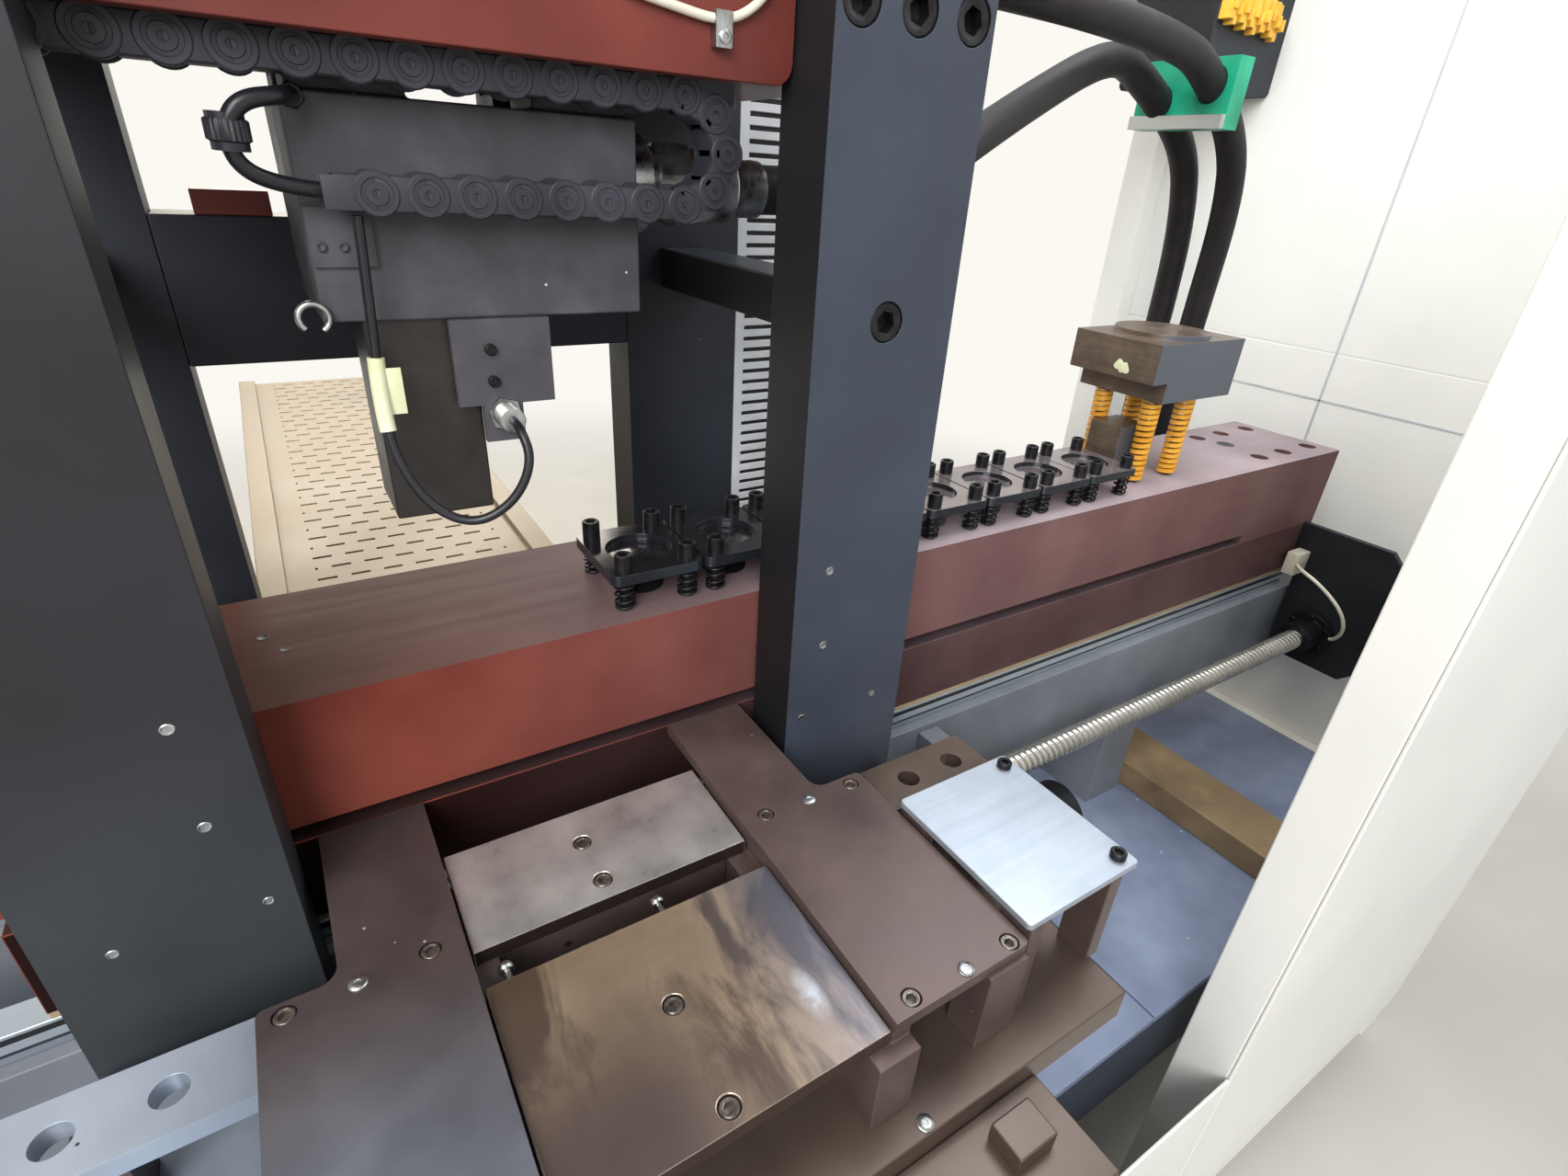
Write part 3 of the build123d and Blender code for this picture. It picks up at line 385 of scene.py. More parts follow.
def moulded(name, colours, rough, grain_mm, relief_mm):
    """Moulded or extruded plastic: a faint drift of colour over 60 mm and a fine grain in its skin."""
    made, add, shader, place = blank(name)
    tone = add("ValToRGB", {"Fac": patches(add, place, 60, 4.0)}, zip((0.35, 0.65), colours))
    grain = patches(add, place, grain_mm, 2.0)
    add(shader, {
        "Base Color": tone, "Specular IOR Level": 0.4,
        "Roughness": add("MapRange", spread(grain, 0.0, 1.0, rough - 0.08, rough + 0.08)),
        "Normal": add("Bump", {"Height": grain, "Strength": 0.4, "Distance": relief_mm / 1000})})
    return made


def knurled(angle):
    """The radius of the coupling's knurled ring at an angle, in millimetres."""
    return 10.2 + 0.4 * cos(24 * angle)


# Extruded PVC: black and smooth, so that it carries one thin highlight along its length.
sheath = moulded("pvc_sheath_extruded", ("#141418", "#202026"), 0.32, 3.0, 0.05)
sensor_route = [
    (-0.004, -0.552, 1.236), (-0.004, -0.568, 1.236), (0.000, -0.577, 1.214), (-0.014, -0.576, 1.186),
    (-0.041, -0.57, 1.17), (-0.067, -0.561, 1.183), (-0.083, -0.551, 1.217), (-0.085, -0.543, 1.256),
    (-0.081, -0.54, 1.312), (-0.079, -0.541, 1.3645)]
power_route = [
    (-0.0805, -0.541, 1.377), (-0.108, -0.541, 1.377), (-0.137, -0.549, 1.388), (-0.132, -0.556, 1.418),
    (-0.1, -0.55, 1.424), (-0.1, -0.522, 1.424)]
# Moulded nylon: black and half dull, with a fine grain.
coupling_nylon = moulded("nylon_coupling_moulded", ("#17171b", "#24242a"), 0.45, 2.0, 0.1)
mesh = bmesh.new()
turned(mesh, (-134.5, -88, 1395), (0.02, -0.04, 1), [
    (0, 0), (9, 0), (9, 4), (knurled, 5), (knurled, 14), (9.6, 15), (9, 15), (9, 18), (0, 18)], 96)
coupling = piece("power_cable_coupling", mesh, "punch_head", coupling_nylon)
mesh = bmesh.new()
turned(mesh, (-100, -62, 1424), (0, -1, 0), [
    (0, 0), (hexagon(12), 0), (hexagon(12), 4), (6, 4.5), (5.4, 9), (0, 9)], 24)
piece("power_cable_gland", mesh, "punch_head", coupling_nylon)
cables = (("sensor_cable", sensor_route, 0.314, 0.0065, []),
          ("power_cable", power_route, 0.139, 0.009, [coupling]))
for name, route, length, diameter, on_it in cables:
    line = spline_line(name, route)
    mesh = bmesh.new()
    tube(mesh, line, diameter / 2, 14)
    cable = piece(name + "_sheath", mesh, "punch_head", sheath, [name])

# Cable tag.
# A sleeve of plastic film, wrapped around the sensor cable with its ends pressed together as a flag.
# Polyester film: pale yellow-green and a little shiny, with soft creases about 8 mm apart.
tag_film = moulded("polyester_film_wrapped", ("#cdd09c", "#e6e4c8"), 0.4, 8.0, 0.1)


def bar(mesh, low, high, ease=0.0):
    """Adds a square-edged bar between two drawing corners, with its edges broken by `ease` mm."""
    low, high = at(*low), at(*high)
    made = bmesh.ops.create_cube(mesh, size=1.0)["verts"]
    for vert in made:
        vert.co = Vector(a + (c + 0.5) * (b - a) for a, b, c in zip(low, high, vert.co))
    if ease:
        edges = {edge for vert in made for edge in vert.link_edges}
        bmesh.ops.bevel(mesh, geom=list(edges), offset=ease / 1000, segments=2, profile=0.6, affect="EDGES")


mesh = bmesh.new()
wrapped = [p for p in spline_line("tag_line", sensor_route) if p.x < -0.06 and 1.236 < p.z < 1.284]
tube(mesh, wrapped, 0.0052, 20)
bar(mesh, (-80, -84.6, 1246), (-70, -83.8, 1276), 0.3)
piece("cable_tag", mesh, "punch_head", tag_film)

# Twin hose clamp.
# Two plastic halves hold both hoses side by side, and a galvanised steel bar lies along their foot.
# Moulded polypropylene: an even, slightly waxy green.
clamp_finish = moulded("polypropylene_moulded", ("#117a5c", "#1d9c78"), 0.42, 2.0, 0.08)


def dress(name, finish, ease=1.0, edge_finish=None):
    """Gives a CAD piece its finish and breaks its edges by `ease` mm; `edge_finish` paints a highlight line
    on them.
    """
    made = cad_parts[name]
    made.data.materials.clear()
    made.data.materials.append(finish)
    if edge_finish:
        made.data.materials.append(edge_finish)
    if ease:
        made.modifiers.new("joined", "WELD").merge_threshold = 0.00001
        flat = made.modifiers.new("flat_faces", "DECIMATE")
        flat.decimate_type, flat.angle_limit = "DISSOLVE", radians(0.4)
        eased = made.modifiers.new("eased_edges", "BEVEL")
        eased.width, eased.segments = ease / 1000, 2
        eased.limit_method, eased.angle_limit = "ANGLE", radians(35)
        eased.material = 1 if edge_finish else -1
        made.modifiers.new("even_shading", "WEIGHTED_NORMAL")
    return made


# One CAD piece holds both, so left of x = 0.9546 m its material is bright galvanised steel.
add = partial(node, clamp_finish.node_tree)
spot = add("SeparateXYZ", {"Vector": add("TexCoord").outputs["Object"]})
on_bar = add("Math", {0: spot.outputs["X"], 1: 0.9546}, operation="LESS_THAN")
steel = add("BsdfPrincipled", {"Base Color": "#b8bab8", "Metallic": 1.0, "Roughness": 0.35})
ends = clamp_finish.node_tree.nodes
add(ends["output"], {"Surface": add("MixShader", {0: on_bar, 1: ends["shader"], 2: steel})})
dress("hose_clamp", clamp_finish, 1.5)

# Energy chain.
# Links with two bossed side plates and snap-in cross bars: an upper run held at its left end, a half turn,
# and a lower run held by the head.
# Moulded nylon: blue-black and dull, with a fine grain that breaks up its highlights.
chain_nylon = moulded("nylon_moulded", ("#25252c", "#34343d"), 0.5, 1.6, 0.12)


def chain_link(mesh, x, z, angle, reach):
    """Adds one link from a pivot of the drawing, turned by an angle about Y."""
    link = bmesh.new()
    for side, face in ((-96, -1), (-66, 1)):
        inner = side - face * 4
        turned(link, (0, inner, 0), (0, face, 0), [
            (0, 0), (12.5, 0), (12.5, 3), (11.5, 4), (8.8, 4), (8.4, 3), (6.4, 3), (6, 4), (2.6, 4),
            (2.2, 2.4), (0, 2.4)], 28)
        low, high = sorted((inner, side - face * 0.8))
        bar(link, (0, low, -9), (reach, high, 9), 0.6)
    for level in (-9.6, 7.0):
        bar(link, (reach / 2 - 7, -93, level), (reach / 2 + 7, -69, level + 2.6), 0.7)
    link.transform(Matrix.Translation(at(x, row_origin_y, z)) @ Matrix.Rotation(angle, 4, "Y"))
    data = bpy.data.meshes.new("link")
    link.to_mesh(data)
    mesh.from_mesh(data)
    link.free()
    bpy.data.meshes.remove(data)


bend_x, bend_radius, upper, lower, pitch = 128, 33, 1443, 1377, 28
upper_links, lower_links, bend_links = 16, 8, 4
mesh = bmesh.new()
for i in range(1, upper_links + 1):
    chain_link(mesh, bend_x - pitch * i, upper, 0, pitch)
for i in range(lower_links):
    chain_link(mesh, bend_x - pitch * i, lower, pi, pitch)
bend_step = 2 * bend_radius * sin(pi / 2 / bend_links)
for i in range(bend_links):
    around = pi / 2 - i * pi / bend_links
    x, z = bend_x + bend_radius * cos(around), (upper + lower) / 2 + bend_radius * sin(around)
    chain_link(mesh, x, z, (i + 0.5) * pi / bend_links, bend_step)
chain = piece("energy_chain_links", mesh, None, chain_nylon, ["energy_chain"])
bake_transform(chain)

# Portal posts and ties.
# Four thick flat bars of mild steel stand on the bed, sprayed blue-black, with tie bars between them.
# The front pair is drilled and tapped, and the bright threads show where the paint was cut.


def coated(name, stops, drift_mm, rough, peel_mm=1.4, peel=0.12, changes=()):
    """Sprayed paint or powder on steel: tone that drifts over drift_mm, and an orange-peel skin."""
    made, add, shader, place = blank(name)
    drift = patches(add, place, drift_mm, 5.0, 0.55)
    skin = {"Height": patches(add, place, peel_mm, 1.0), "Strength": peel, "Distance": 0.0002}
    add(shader, {
        "Base Color": toned(add, place, drift, stops, changes), "Specular IOR Level": 0.3,
        "Roughness": add("MapRange", spread(drift, 0.3, 0.7, *rough)),
        "Normal": add("Bump", skin)})
    return made


def overlaid(made, share, code):
    """Lays a colour over a material's own by the share that a node gives."""
    add, shader = partial(node, made.node_tree), made.node_tree.nodes["shader"]
    under = shader.inputs["Base Color"].links[0].from_socket
    add(shader, {"Base Color": add("Mix", {0: share, 6: under, 7: code}, data_type="RGBA")})


def flecked(made, apart_mm, size, share, code):
    """Scatters flecks: one in each cell of about apart_mm, `size` of a cell wide, a share of them kept."""
    add = partial(node, made.node_tree)
    place = add("TexCoord").outputs["Object"]
    cells = add("TexVoronoi", {"Vector": place, "Scale": 1000 / apart_mm})
    near = add("Math", {0: cells.outputs["Distance"], 1: size}, operation="LESS_THAN")
    lot = add("SeparateColor", {"Color": cells.outputs["Color"]})
    kept = add("Math", {0: lot.outputs["Red"], 1: share}, operation="LESS_THAN")
    overlaid(made, add("Math", {0: near, 1: kept}, operation="MULTIPLY"), code)


def painted_side_light(made, axis, direction, code):
    """Lays a tone of painted light, shade or reflection on the faces that look one way along an axis."""
    add = partial(node, made.node_tree)
    facing = add("SeparateXYZ", {"Vector": add("NewGeometry").outputs["Normal"]})
    share = spread(facing.outputs[axis], direction * 0.4, direction * 0.8)
    overlaid(made, add("MapRange", share), code)


# Satin enamel, sprayed: blue-black with a soft broad sheen. The left pair is dusty at its foot, the front
# right post is toned lighter blue-grey as a painted reflection, the rear ones stay dark, and faces that
# look to -X get painted shade.
post_enamel = coated(
    "satin_enamel_sprayed", [(0.3, "#1f1f23"), (0.7, "#2a2a2f")], 180, (0.4, 0.55),
    changes=[("Z", 1.15, 0.95, [(0.3, "#2b2e31"), (0.7, "#383b3f")]),
             ("X", -0.15, 0.18, [(0.3, "#333843"), (0.7, "#414855")]),
             ("Y", -0.52, -0.42, [(0.3, "#20242a"), (0.7, "#2c3038")])])
flecked(post_enamel, 26, 0.035, 0.3, "#8c8c90")
# Painted shade on the faces that look to -X.
painted_side_light(post_enamel, "X", -1, "#1a1a1d")
dress("portal_posts", post_enamel, 2.0)
dress("portal_ties", post_enamel, 2.0)
mesh = bmesh.new()
for x, z, radius in ((235, 1096, 3.4), (235, 1020, 3.4), (217, 944, 3.0), (301, 944, 3.0)):
    for side in (-1, 1):
        turned(mesh, (side * x, -160.4, z), (0, 1, 0), [
            (0, 1.2), (radius - 1.3, 1.2), (radius - 1, 0.2), (radius, 0), (radius + 0.6, 0.4),
            (0, 0.4)], 20)
piece("post_tapped_holes", mesh, "frame", zinc)

# Socket screws of the portal and the table.
# Forged alloy-steel cap screws, each with a hexagon socket in its head.
# Black oxide on forged steel: almost black, with a fine dull sparkle.
black_oxide = machined(
    "black_oxide_steel_forged", [(0.35, "#131315"), (0.62, "#2a2a2e")], 9, (0.3, 0.5), (3, 3, 3),
    relief=0.3, metallic=0.6)


def cap_screw(mesh, base, axis, diameter, height):
    """Adds a cap-screw head with a chamfered rim and a hexagon socket."""
    outer, socket = diameter / 2, hexagon(diameter * 0.52)
    turned(mesh, base, axis, [
        (0, 0), (outer, 0), (outer, height - 1), (outer - 0.9, height), (diameter * 0.36, height),
        (diameter * 0.34, height - 0.4), (socket, height - 0.5), (socket, height * 0.42),
        (0, height * 0.36)], 36)


mesh = bmesh.new()
for side in (-1, 1):
    for x, z in ((268, 1303), (220, 1500), (268, 1500), (316, 1500)):
        cap_screw(mesh, (side * x, -141, z), (0, -1, 0), 30, 18)
for y in (-422, -300):
    cap_screw(mesh, (345, y, 938), (0, 0, 1), 13, 6)
piece("socket_screw_heads", mesh, "frame", black_oxide, ["socket_screws"])
# The table's screws are rubbed by the stock: their rims are bare, and oxide is left in the sockets.
rubbed_oxide = machined(
    "black_oxide_rubbed_bare", [(0.35, "#4e4844"), (0.62, "#7c746c")], 6, (0.26, 0.44), (3, 3, 3),
    relief=0.2, metallic=0.7)
mesh = bmesh.new()
for side in (-1, 1):
    for x, y in ((131, -239), (216, -243), (129, -428), (218, -430)):
        cap_screw(mesh, (side * x, y, 919.5), (0, 0, 1), 13, 8)
for x, y in ((-5, -350), (-4, -424), (-9, -188), (-8, -231)):
    cap_screw(mesh, (x, y, 911.5), (0, 0, 1), 13, 8)
piece("table_screw_heads", mesh, "frame", rubbed_oxide, ["socket_screws"])

# Crown beam.
# A heavy box between the posts with a rounded front apron, from which a thin line hangs in a plated clip.
# The stop block on the rear tie has the same paint.
# Brushed enamel: brick red and half glossy, with brush marks and clouds over 120 mm.
crown_paint = coated(
    "brick_red_enamel_brushed", [(0.25, "#52231d"), (0.55, "#6a3029"), (0.8, "#7e3e34")], 120, (0.32, 0.5),
    3.0, 0.2)
dress("crown_beam", crown_paint, 2.0)
dress("stop_block", crown_paint, 1.0)
# Heat-formed nylon line: ivory and half glossy, so that it reads as a thin bright thread.
line_nylon = moulded("nylon_line_heat_formed", ("#cfc9b8", "#e2dccb"), 0.36, 4.0, 0.05)
line = spline_line("apron_line", [at(*point) for point in (
    (20, -114, 1516), (30, -119, 1514), (70, -120, 1492), (110, -120, 1486), (142, -120, 1482),
    (165, -120, 1491), (184, -119, 1512), (188, -114, 1516))])
mesh = bmesh.new()
tube(mesh, line, 0.0028, 12)
piece("apron_line", mesh, "frame", line_nylon)
mesh = bmesh.new()
bar(mesh, (136, -124, 1468), (148, -116, 1488), 1.0)
turned(mesh, (142, -124, 1474), (0, -1, 0), [
    (0, 0), (4, 0), (4, 2), (3, 2.6), (hexagon(4), 2.6), (hexagon(4), 1), (0, 1)], 24)
piece("apron_clip", mesh, "frame", zinc)

# Slotted cable duct.
# Extruded PVC with punched side slots, screwed to the rear post; dark strips in the slots are painted shade
# for its inside.
# Extruded PVC: pale grey and dull, without texture.
duct_pvc = moulded("pvc_duct_extruded", ("#c6c9cc", "#dadcdd"), 0.5, 2.5, 0.05)
dress("cable_duct", duct_pvc, 0.6)
# Painted shade: near-black, dull strips in the slots for the dark inside of the duct.
slot_shade = moulded("pvc_painted_shade_in_slots", ("#141416", "#202024"), 0.6, 3.0, 0.05)
low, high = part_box("cable_duct")
duct_low, duct_high = [(x * 1000, y * 1000 + row_origin_y, z * 1000) for x, y, z in (low, high)]
slots_left, slot_pitch, slot_height, slot_floor = 12, 13, 5, 3
level = duct_low[2] + slot_pitch
mesh = bmesh.new()
while level < duct_high[2] - slot_pitch:
    bar(mesh, (duct_low[0] + slots_left + 0.3, duct_low[1] + slot_floor - 0.8, level + 0.4),
        (duct_high[0] - 1, duct_low[1] + slot_floor - 0.1, level + slot_height - 0.4))
    level += slot_pitch
piece("duct_slot_shade", mesh, "frame", slot_shade)

# Die beam.
# Two thick milled steel plates, bolted together with a feed slot between them and painted thinly.


def beam_finish(name, front_left, front_right, top_left, top_right, rough):
    """Thin enamel over milled steel: painted-light front and top tones that go from the left end to the
    right.
    """
    made, add, shader, place = blank(name)
    spot = add("SeparateXYZ", {"Vector": place})
    along = add("MapRange", spread(spot.outputs["X"], -0.1, 0.5))
    facing = add("SeparateXYZ", {"Vector": add("NewGeometry").outputs["Normal"]})
    upward = add("MapRange", spread(facing.outputs["Z"], 0.3, 0.8))
    cloud = patches(add, place, 150, 5.0)
    streaks = patches(add, place, (220, 12, 12), 3.0)
    tones = [add("ValToRGB", {"Fac": cloud}, zip((0.3, 0.7), pair))
             for pair in (front_left, front_right, top_left, top_right)]
    front = add("Mix", {0: along, 6: tones[0], 7: tones[1]}, data_type="RGBA")
    top = add("Mix", {0: along, 6: tones[2], 7: tones[3]}, data_type="RGBA")
    add(shader, {
        "Base Color": add("Mix", {0: upward, 6: front, 7: top}, data_type="RGBA"),
        "Roughness": add("MapRange", spread(streaks, 0.3, 0.7, *rough)),
        "Specular IOR Level": 0.05})
    return made


# Thin enamel on milled steel: brown-red at the left and mauve-grey at the right, cloudy and nearly matt;
# the top is toned apart from the front as painted light, pale at the right as a painted reflection.
beam_enamel = beam_finish(
    "thin_enamel_on_milled_steel", ("#662e26", "#86463a"), ("#604444", "#785c5a"), ("#52342f", "#66443e"),
    ("#8a7c80", "#a29498"), (0.44, 0.54))
dress("beam_upper_plate", beam_enamel, 1.6)
# The same enamel on the lower plate, painted almost black at the left as the shade under the upper plate,
# with its edges in the lit red as a painted highlight line.
shade_painted_enamel = beam_finish(
    "thin_enamel_painted_shade", ("#1a0d0c", "#281513"), ("#4a3434", "#604a4a"), ("#2e1e1c", "#3c2a28"),
    ("#4a3c40", "#5c4e52"), (0.34, 0.46))
lit_edge_enamel = beam_finish(
    "enamel_painted_edge_highlight", ("#5c2a22", "#743a30"), ("#54403f", "#685352"), ("#5c2a22", "#743a30"),
    ("#54403f", "#685352"), (0.34, 0.46))
dress("beam_lower_plate", shade_painted_enamel, 1.0, lit_edge_enamel)
beam_top = 1050
mesh = bmesh.new()
for x, y, radius in ((-191, 17, 4), (-177, -10, 3), (1149, 11, 13)):
    turned(mesh, (x, y, beam_top), (0, 0, 1), [
        (radius + 0.6, -0.5), (radius + 0.6, 0.25), (radius, 0.3), (radius - 0.8, 0.1), (0, 0.1)], 28)
piece("beam_plugs", mesh, "die_beam", black_oxide)

# Wear strips and rails.
# Bronze strips under the beam slide on hardened, ground steel rails.
# Milled bronze: dull straw-brown under a film of oil.
bronze = machined(
    "bronze_milled", [(0.35, "#b09a7a"), (0.65, "#cab694")], 200, (0.3, 0.4), (300, 60, 60), metallic=0.5)
# Hardened steel, ground along its length: blue-white, with stripes of painted shade and highlight where the
# rail's grooves lie.
groove_shade_stripes = ((0.8342, "#2a2c30", "#383a3e"), (0.8286, "#a4aeb8", "#c4ced6"), (0.8206, "#3c4046", "#4c5056"),
           (0.8176, "#8a949e", "#a8b2bc"))
ground = machined(
    "hardened_steel_ground", [(0.35, "#98a2ac"), (0.65, "#bcc6ce")], 400, (0.2, 0.26), (400, 60, 60),
    metallic=0.6, changes=[
        ("Z", level, level - 0.0006, [(0.35, dark), (0.65, light)]) for level, dark, light in groove_shade_stripes])
dress("wear_strips", bronze, 0.5)
dress("guide_rails", ground, 1.0)

# Punch stations.
# Eight tool-steel plates, each with a punch in an open bore, on four shoulder screws and black springs.
# Black oxide on ground tool steel: glossy, dark at the left and toned warm grey at the right as a painted
# reflection of the bright wall, with painted blue-black shade on the sides.
station_steel = machined(
    "tool_steel_black_oxide", [(0.35, "#2c2a2d"), (0.65, "#3f3b3f")], 40, (0.1, 0.18), (9, 9, 9),
    relief=0.01, metallic=0.6, changes=[("X", 0.27, 0.5, [(0.35, "#847a7b"), (0.65, "#958b8c")])])
# Painted shade on all four sides of each plate.
for axis, direction in (("X", -1), ("X", 1), ("Y", -1), ("Y", 1)):
    painted_side_light(station_steel, axis, direction, "#34383e")


def loft(mesh, rings):
    """Joins rings of equally many vertices with faces, and closes both ends."""
    for low, high in zip(rings, rings[1:]):
        for k in range(len(low)):
            after = (k + 1) % len(low)
            mesh.faces.new((low[k], low[after], high[after], high[k]))
    mesh.faces.new(rings[0])
    mesh.faces.new(rings[-1])


def coil(mesh, centre, low, high, radius, wire, turns, square=False, closing=0.07):
    """Adds a coil spring between two levels; `closing` closes up its end turns."""
    (x, y), (width, height), steps_per_turn = centre, wire, 22
    corners = [(cos(pi * k / 4), sin(pi * k / 4)) for k in range(8)]
    if square:
        corners = [(-1, -1), (1, -1), (1, 1), (-1, 1)]
    steps = int(turns * steps_per_turn)
    rings = []
    for i in range(steps + 1):
        share = i / steps
        angle = 2 * pi * turns * share
        level = low + height / 2 + (high - low - height) * (share - closing * sin(2 * pi * share))
        ring = []
        for a, b in corners:
            reach = radius + a * width / 2
            spot = at(x + reach * cos(angle), y + reach * sin(angle), level + b * height / 2)
            ring.append(mesh.verts.new(spot))
        rings.append(ring)
    loft(mesh, rings)


first_station, station_pitch, station_y, lift, stroke = 113, 90, -25, 27, 14
screws = bmesh.new()
for i in range(8):
    x = first_station + station_pitch * i
    dress(f"punch_station_{i + 1}", station_steel, 0.6)
    springs = bmesh.new()
    for a in (-30.5, 30.5):
        for b in (-40, 40):
            centre = x + a, station_y + b
            turned(screws, (*centre, beam_top), (0, 0, 1), [(0, 0), (5, 0), (5, 37), (0, 37)], 20)
            cap_screw(screws, (*centre, beam_top + 37), (0, 0, 1), 16, 16)
            coil(springs, centre, beam_top, beam_top + lift, 8.2, (2.4, 2.4), 4.6)
    lifted = piece(f"lifting_springs_{i + 1}", springs, "die_beam", black_oxide,
                   ["station_springs"])
    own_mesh(lifted)
piece("station_cap_screws", screws, "die_beam", black_oxide, ["station_screws"])

# Forming tool.
# A stepped steel block with a thin round pad, on four square-wire die springs and a guide column.
# Milled tool steel under oil: brown with broad stains, and a painted blue-grey reflection on its front.
block_steel = machined(
    "tool_steel_milled_oiled", [(0.3, "#45392f"), (0.5, "#5f5146"), (0.7, "#786858")], 60, (0.26, 0.42),
    (30, 30, 6), relief=0.03, metallic=0.4)
painted_side_light(block_steel, "Y", -1, "#565b66")
dress("forming_block", block_steel, 1.5)
dress("forming_guide", block_steel, 1.5)
# Dipped enamel on spring wire: golden yellow and half glossy, deeper where it has gathered.
spring_enamel = coated(
    "spring_enamel_dipped", [(0.3, "#d08e22"), (0.7, "#ecb448")], 20, (0.3, 0.5), 1.0, 0.1)
tool_x, tool_y, tool_lift, tool_stroke = 875, -1, 115, 30
springs, pins = bmesh.new(), bmesh.new()
for a in (-38, 38):
    for b in (-38, 38):
        centre = tool_x + a, tool_y + b
        coil(springs, centre, beam_top, beam_top + tool_lift, 9.6, (5.6, 5.2), 14.5, square=True,
             closing=0.012)
        turned(pins, (*centre, beam_top), (0, 0, 1), [(0, 0), (5.6, 0), (5.6, 80), (4.6, 82), (0, 82)], 20)
die_springs = piece("die_springs", springs, "die_beam", spring_enamel,
                    ["forming_springs"], crease=30)
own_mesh(die_springs)
piece("die_spring_pins", pins, "die_beam", black_oxide)


def smear(angle):
    """The uneven outline of a daub of paint, in millimetres."""
    return 9 + 2.6 * sin(2 * angle + 0.6) + 1.1 * sin(5 * angle)


# A daub of pale paint marks the block's left side.
mesh = bmesh.new()
turned(mesh, (785, -16, 1205), (-1, 0, 0), [(0, 0), (smear, 0), (smear, 0.5), (4, 0.9), (0, 0.9)], 48)
piece("block_chip", mesh, "forming_tool", tag_film)

# Slideway beams.
# Two long machined beams on cross pillars carry the rails, with a small limit dog at the right.
# Satin enamel, rolled: middle grey, with a coarser skin than the posts'.
slide_enamel = coated(
    "satin_enamel_rolled", [(0.3, "#666a71"), (0.7, "#80858c")], 140, (0.36, 0.52), 2.0, 0.15)
dress("rail_supports", slide_enamel, 1.5)
mesh = bmesh.new()
bar(mesh, (1076, -104, 650), (1100, -72, 680), 1.5)
turned(mesh, (1088, -104, 664), (0, -1, 0), [(0, 0), (5, 0), (5, 3), (4, 3.6), (0, 3.6)], 20)
piece("limit_dog", mesh, "frame", black_oxide)

# Ball screw and nut.
# A ground two-start screw of 32 mm turns in a flanged nut, which pulls the beam through a chamfered
# plate. A nylon tube brings grease from a clip to the nut.
# Ground steel: pale and warm, with a bright line along each crest of the thread.
thread_steel = machined(
    "ball_screw_steel_ground", [(0.35, "#a2a09a"), (0.65, "#bebcb4")], 90, (0.24, 0.3), (60, 60, 60),
    metallic=0.8)
screw_y, screw_z, screw_radius, groove_pitch, groove_depth, starts = -163, 752, 16, 10, 1.9, 2
screw_left, screw_right, thread_left, thread_right, step, sides = 470, 1322, 484, 1308, 1.25, 32
mesh = bmesh.new()
rings = []
for i in range(int((screw_right - screw_left) / step) + 1):
    x = screw_left + i * step
    depth = groove_depth if thread_left < x < thread_right else 0.0
    ring = []
    for k in range(sides):
        angle = 2 * pi * k / sides
        phase = (x / groove_pitch - starts * angle / (2 * pi)) % 1.0 - 0.5
        reach = screw_radius - depth * (0.5 + 0.5 * cos(2 * pi * phase))
        ring.append(mesh.verts.new(at(x, screw_y + reach * cos(angle), screw_z + reach * sin(angle))))
    rings.append(ring)
loft(mesh, rings)
piece("ball_screw_thread", mesh, "ball_screw", thread_steel, ["ball_screw"], crease=80)
# Sprayed enamel on the nut's plate and the motor: almost black, with a narrow sheen.
dark_enamel = coated("dark_enamel_sprayed", [(0.3, "#17181b"), (0.7, "#232428")], 60, (0.4, 0.55))
dress("nut_plate", dark_enamel, 2.0)
dress("ball_nut", black_oxide, 1.0)
mesh = bmesh.new()
for k in range(6):
    turn = pi / 6 + k * pi / 3
    cap_screw(mesh, (1269, screw_y + 31 * cos(turn), screw_z + 31 * sin(turn)), (-1, 0, 0), 8, 4)
piece("nut_flange_screws", mesh, "die_beam", black_oxide)
# Extruded nylon: a straw-coloured, half glossy tube.
grease_nylon = moulded("nylon_tube_extruded", ("#c9c3ae", "#ddd7c2"), 0.35, 4.0, 0.05)
line = spline_line("grease_tube", [
    (1.283, -0.566, 0.862), (1.258, -0.57, 0.866), (1.232, -0.59, 0.868), (1.228, -0.628, 0.858),
    (1.236, -0.668, 0.828), (1.25, -0.68, 0.792), (1.262, -0.668, 0.764), (1.268, -0.66, 0.76)])
mesh = bmesh.new()
tube(mesh, line, 0.003, 12)
piece("grease_tube", mesh, "die_beam", grease_nylon)
mesh = bmesh.new()
bar(mesh, (1246, -118, 846), (1283, -98, 884), 1.5)
piece("grease_clip", mesh, "die_beam", grease_nylon)

# Bearing housings and servo motor.
# Cast housings carry the screw's ends, and the servo motor hangs below it on a belt housing.
dress("screw_bearings", slide_enamel, 1.5)
dress("servo_motor", dark_enamel, 1.5)
mesh = bmesh.new()
for y in (-198, -128):
    for z in (720, 784):
        cap_screw(mesh, (1324, y, z), (-1, 0, 0), 13, 8)
# The motor's cable box, on its front.
bar(mesh, (560, -228, 590), (610, -213, 640), 3.0)
piece("housing_screws", mesh, "frame", black_oxide)

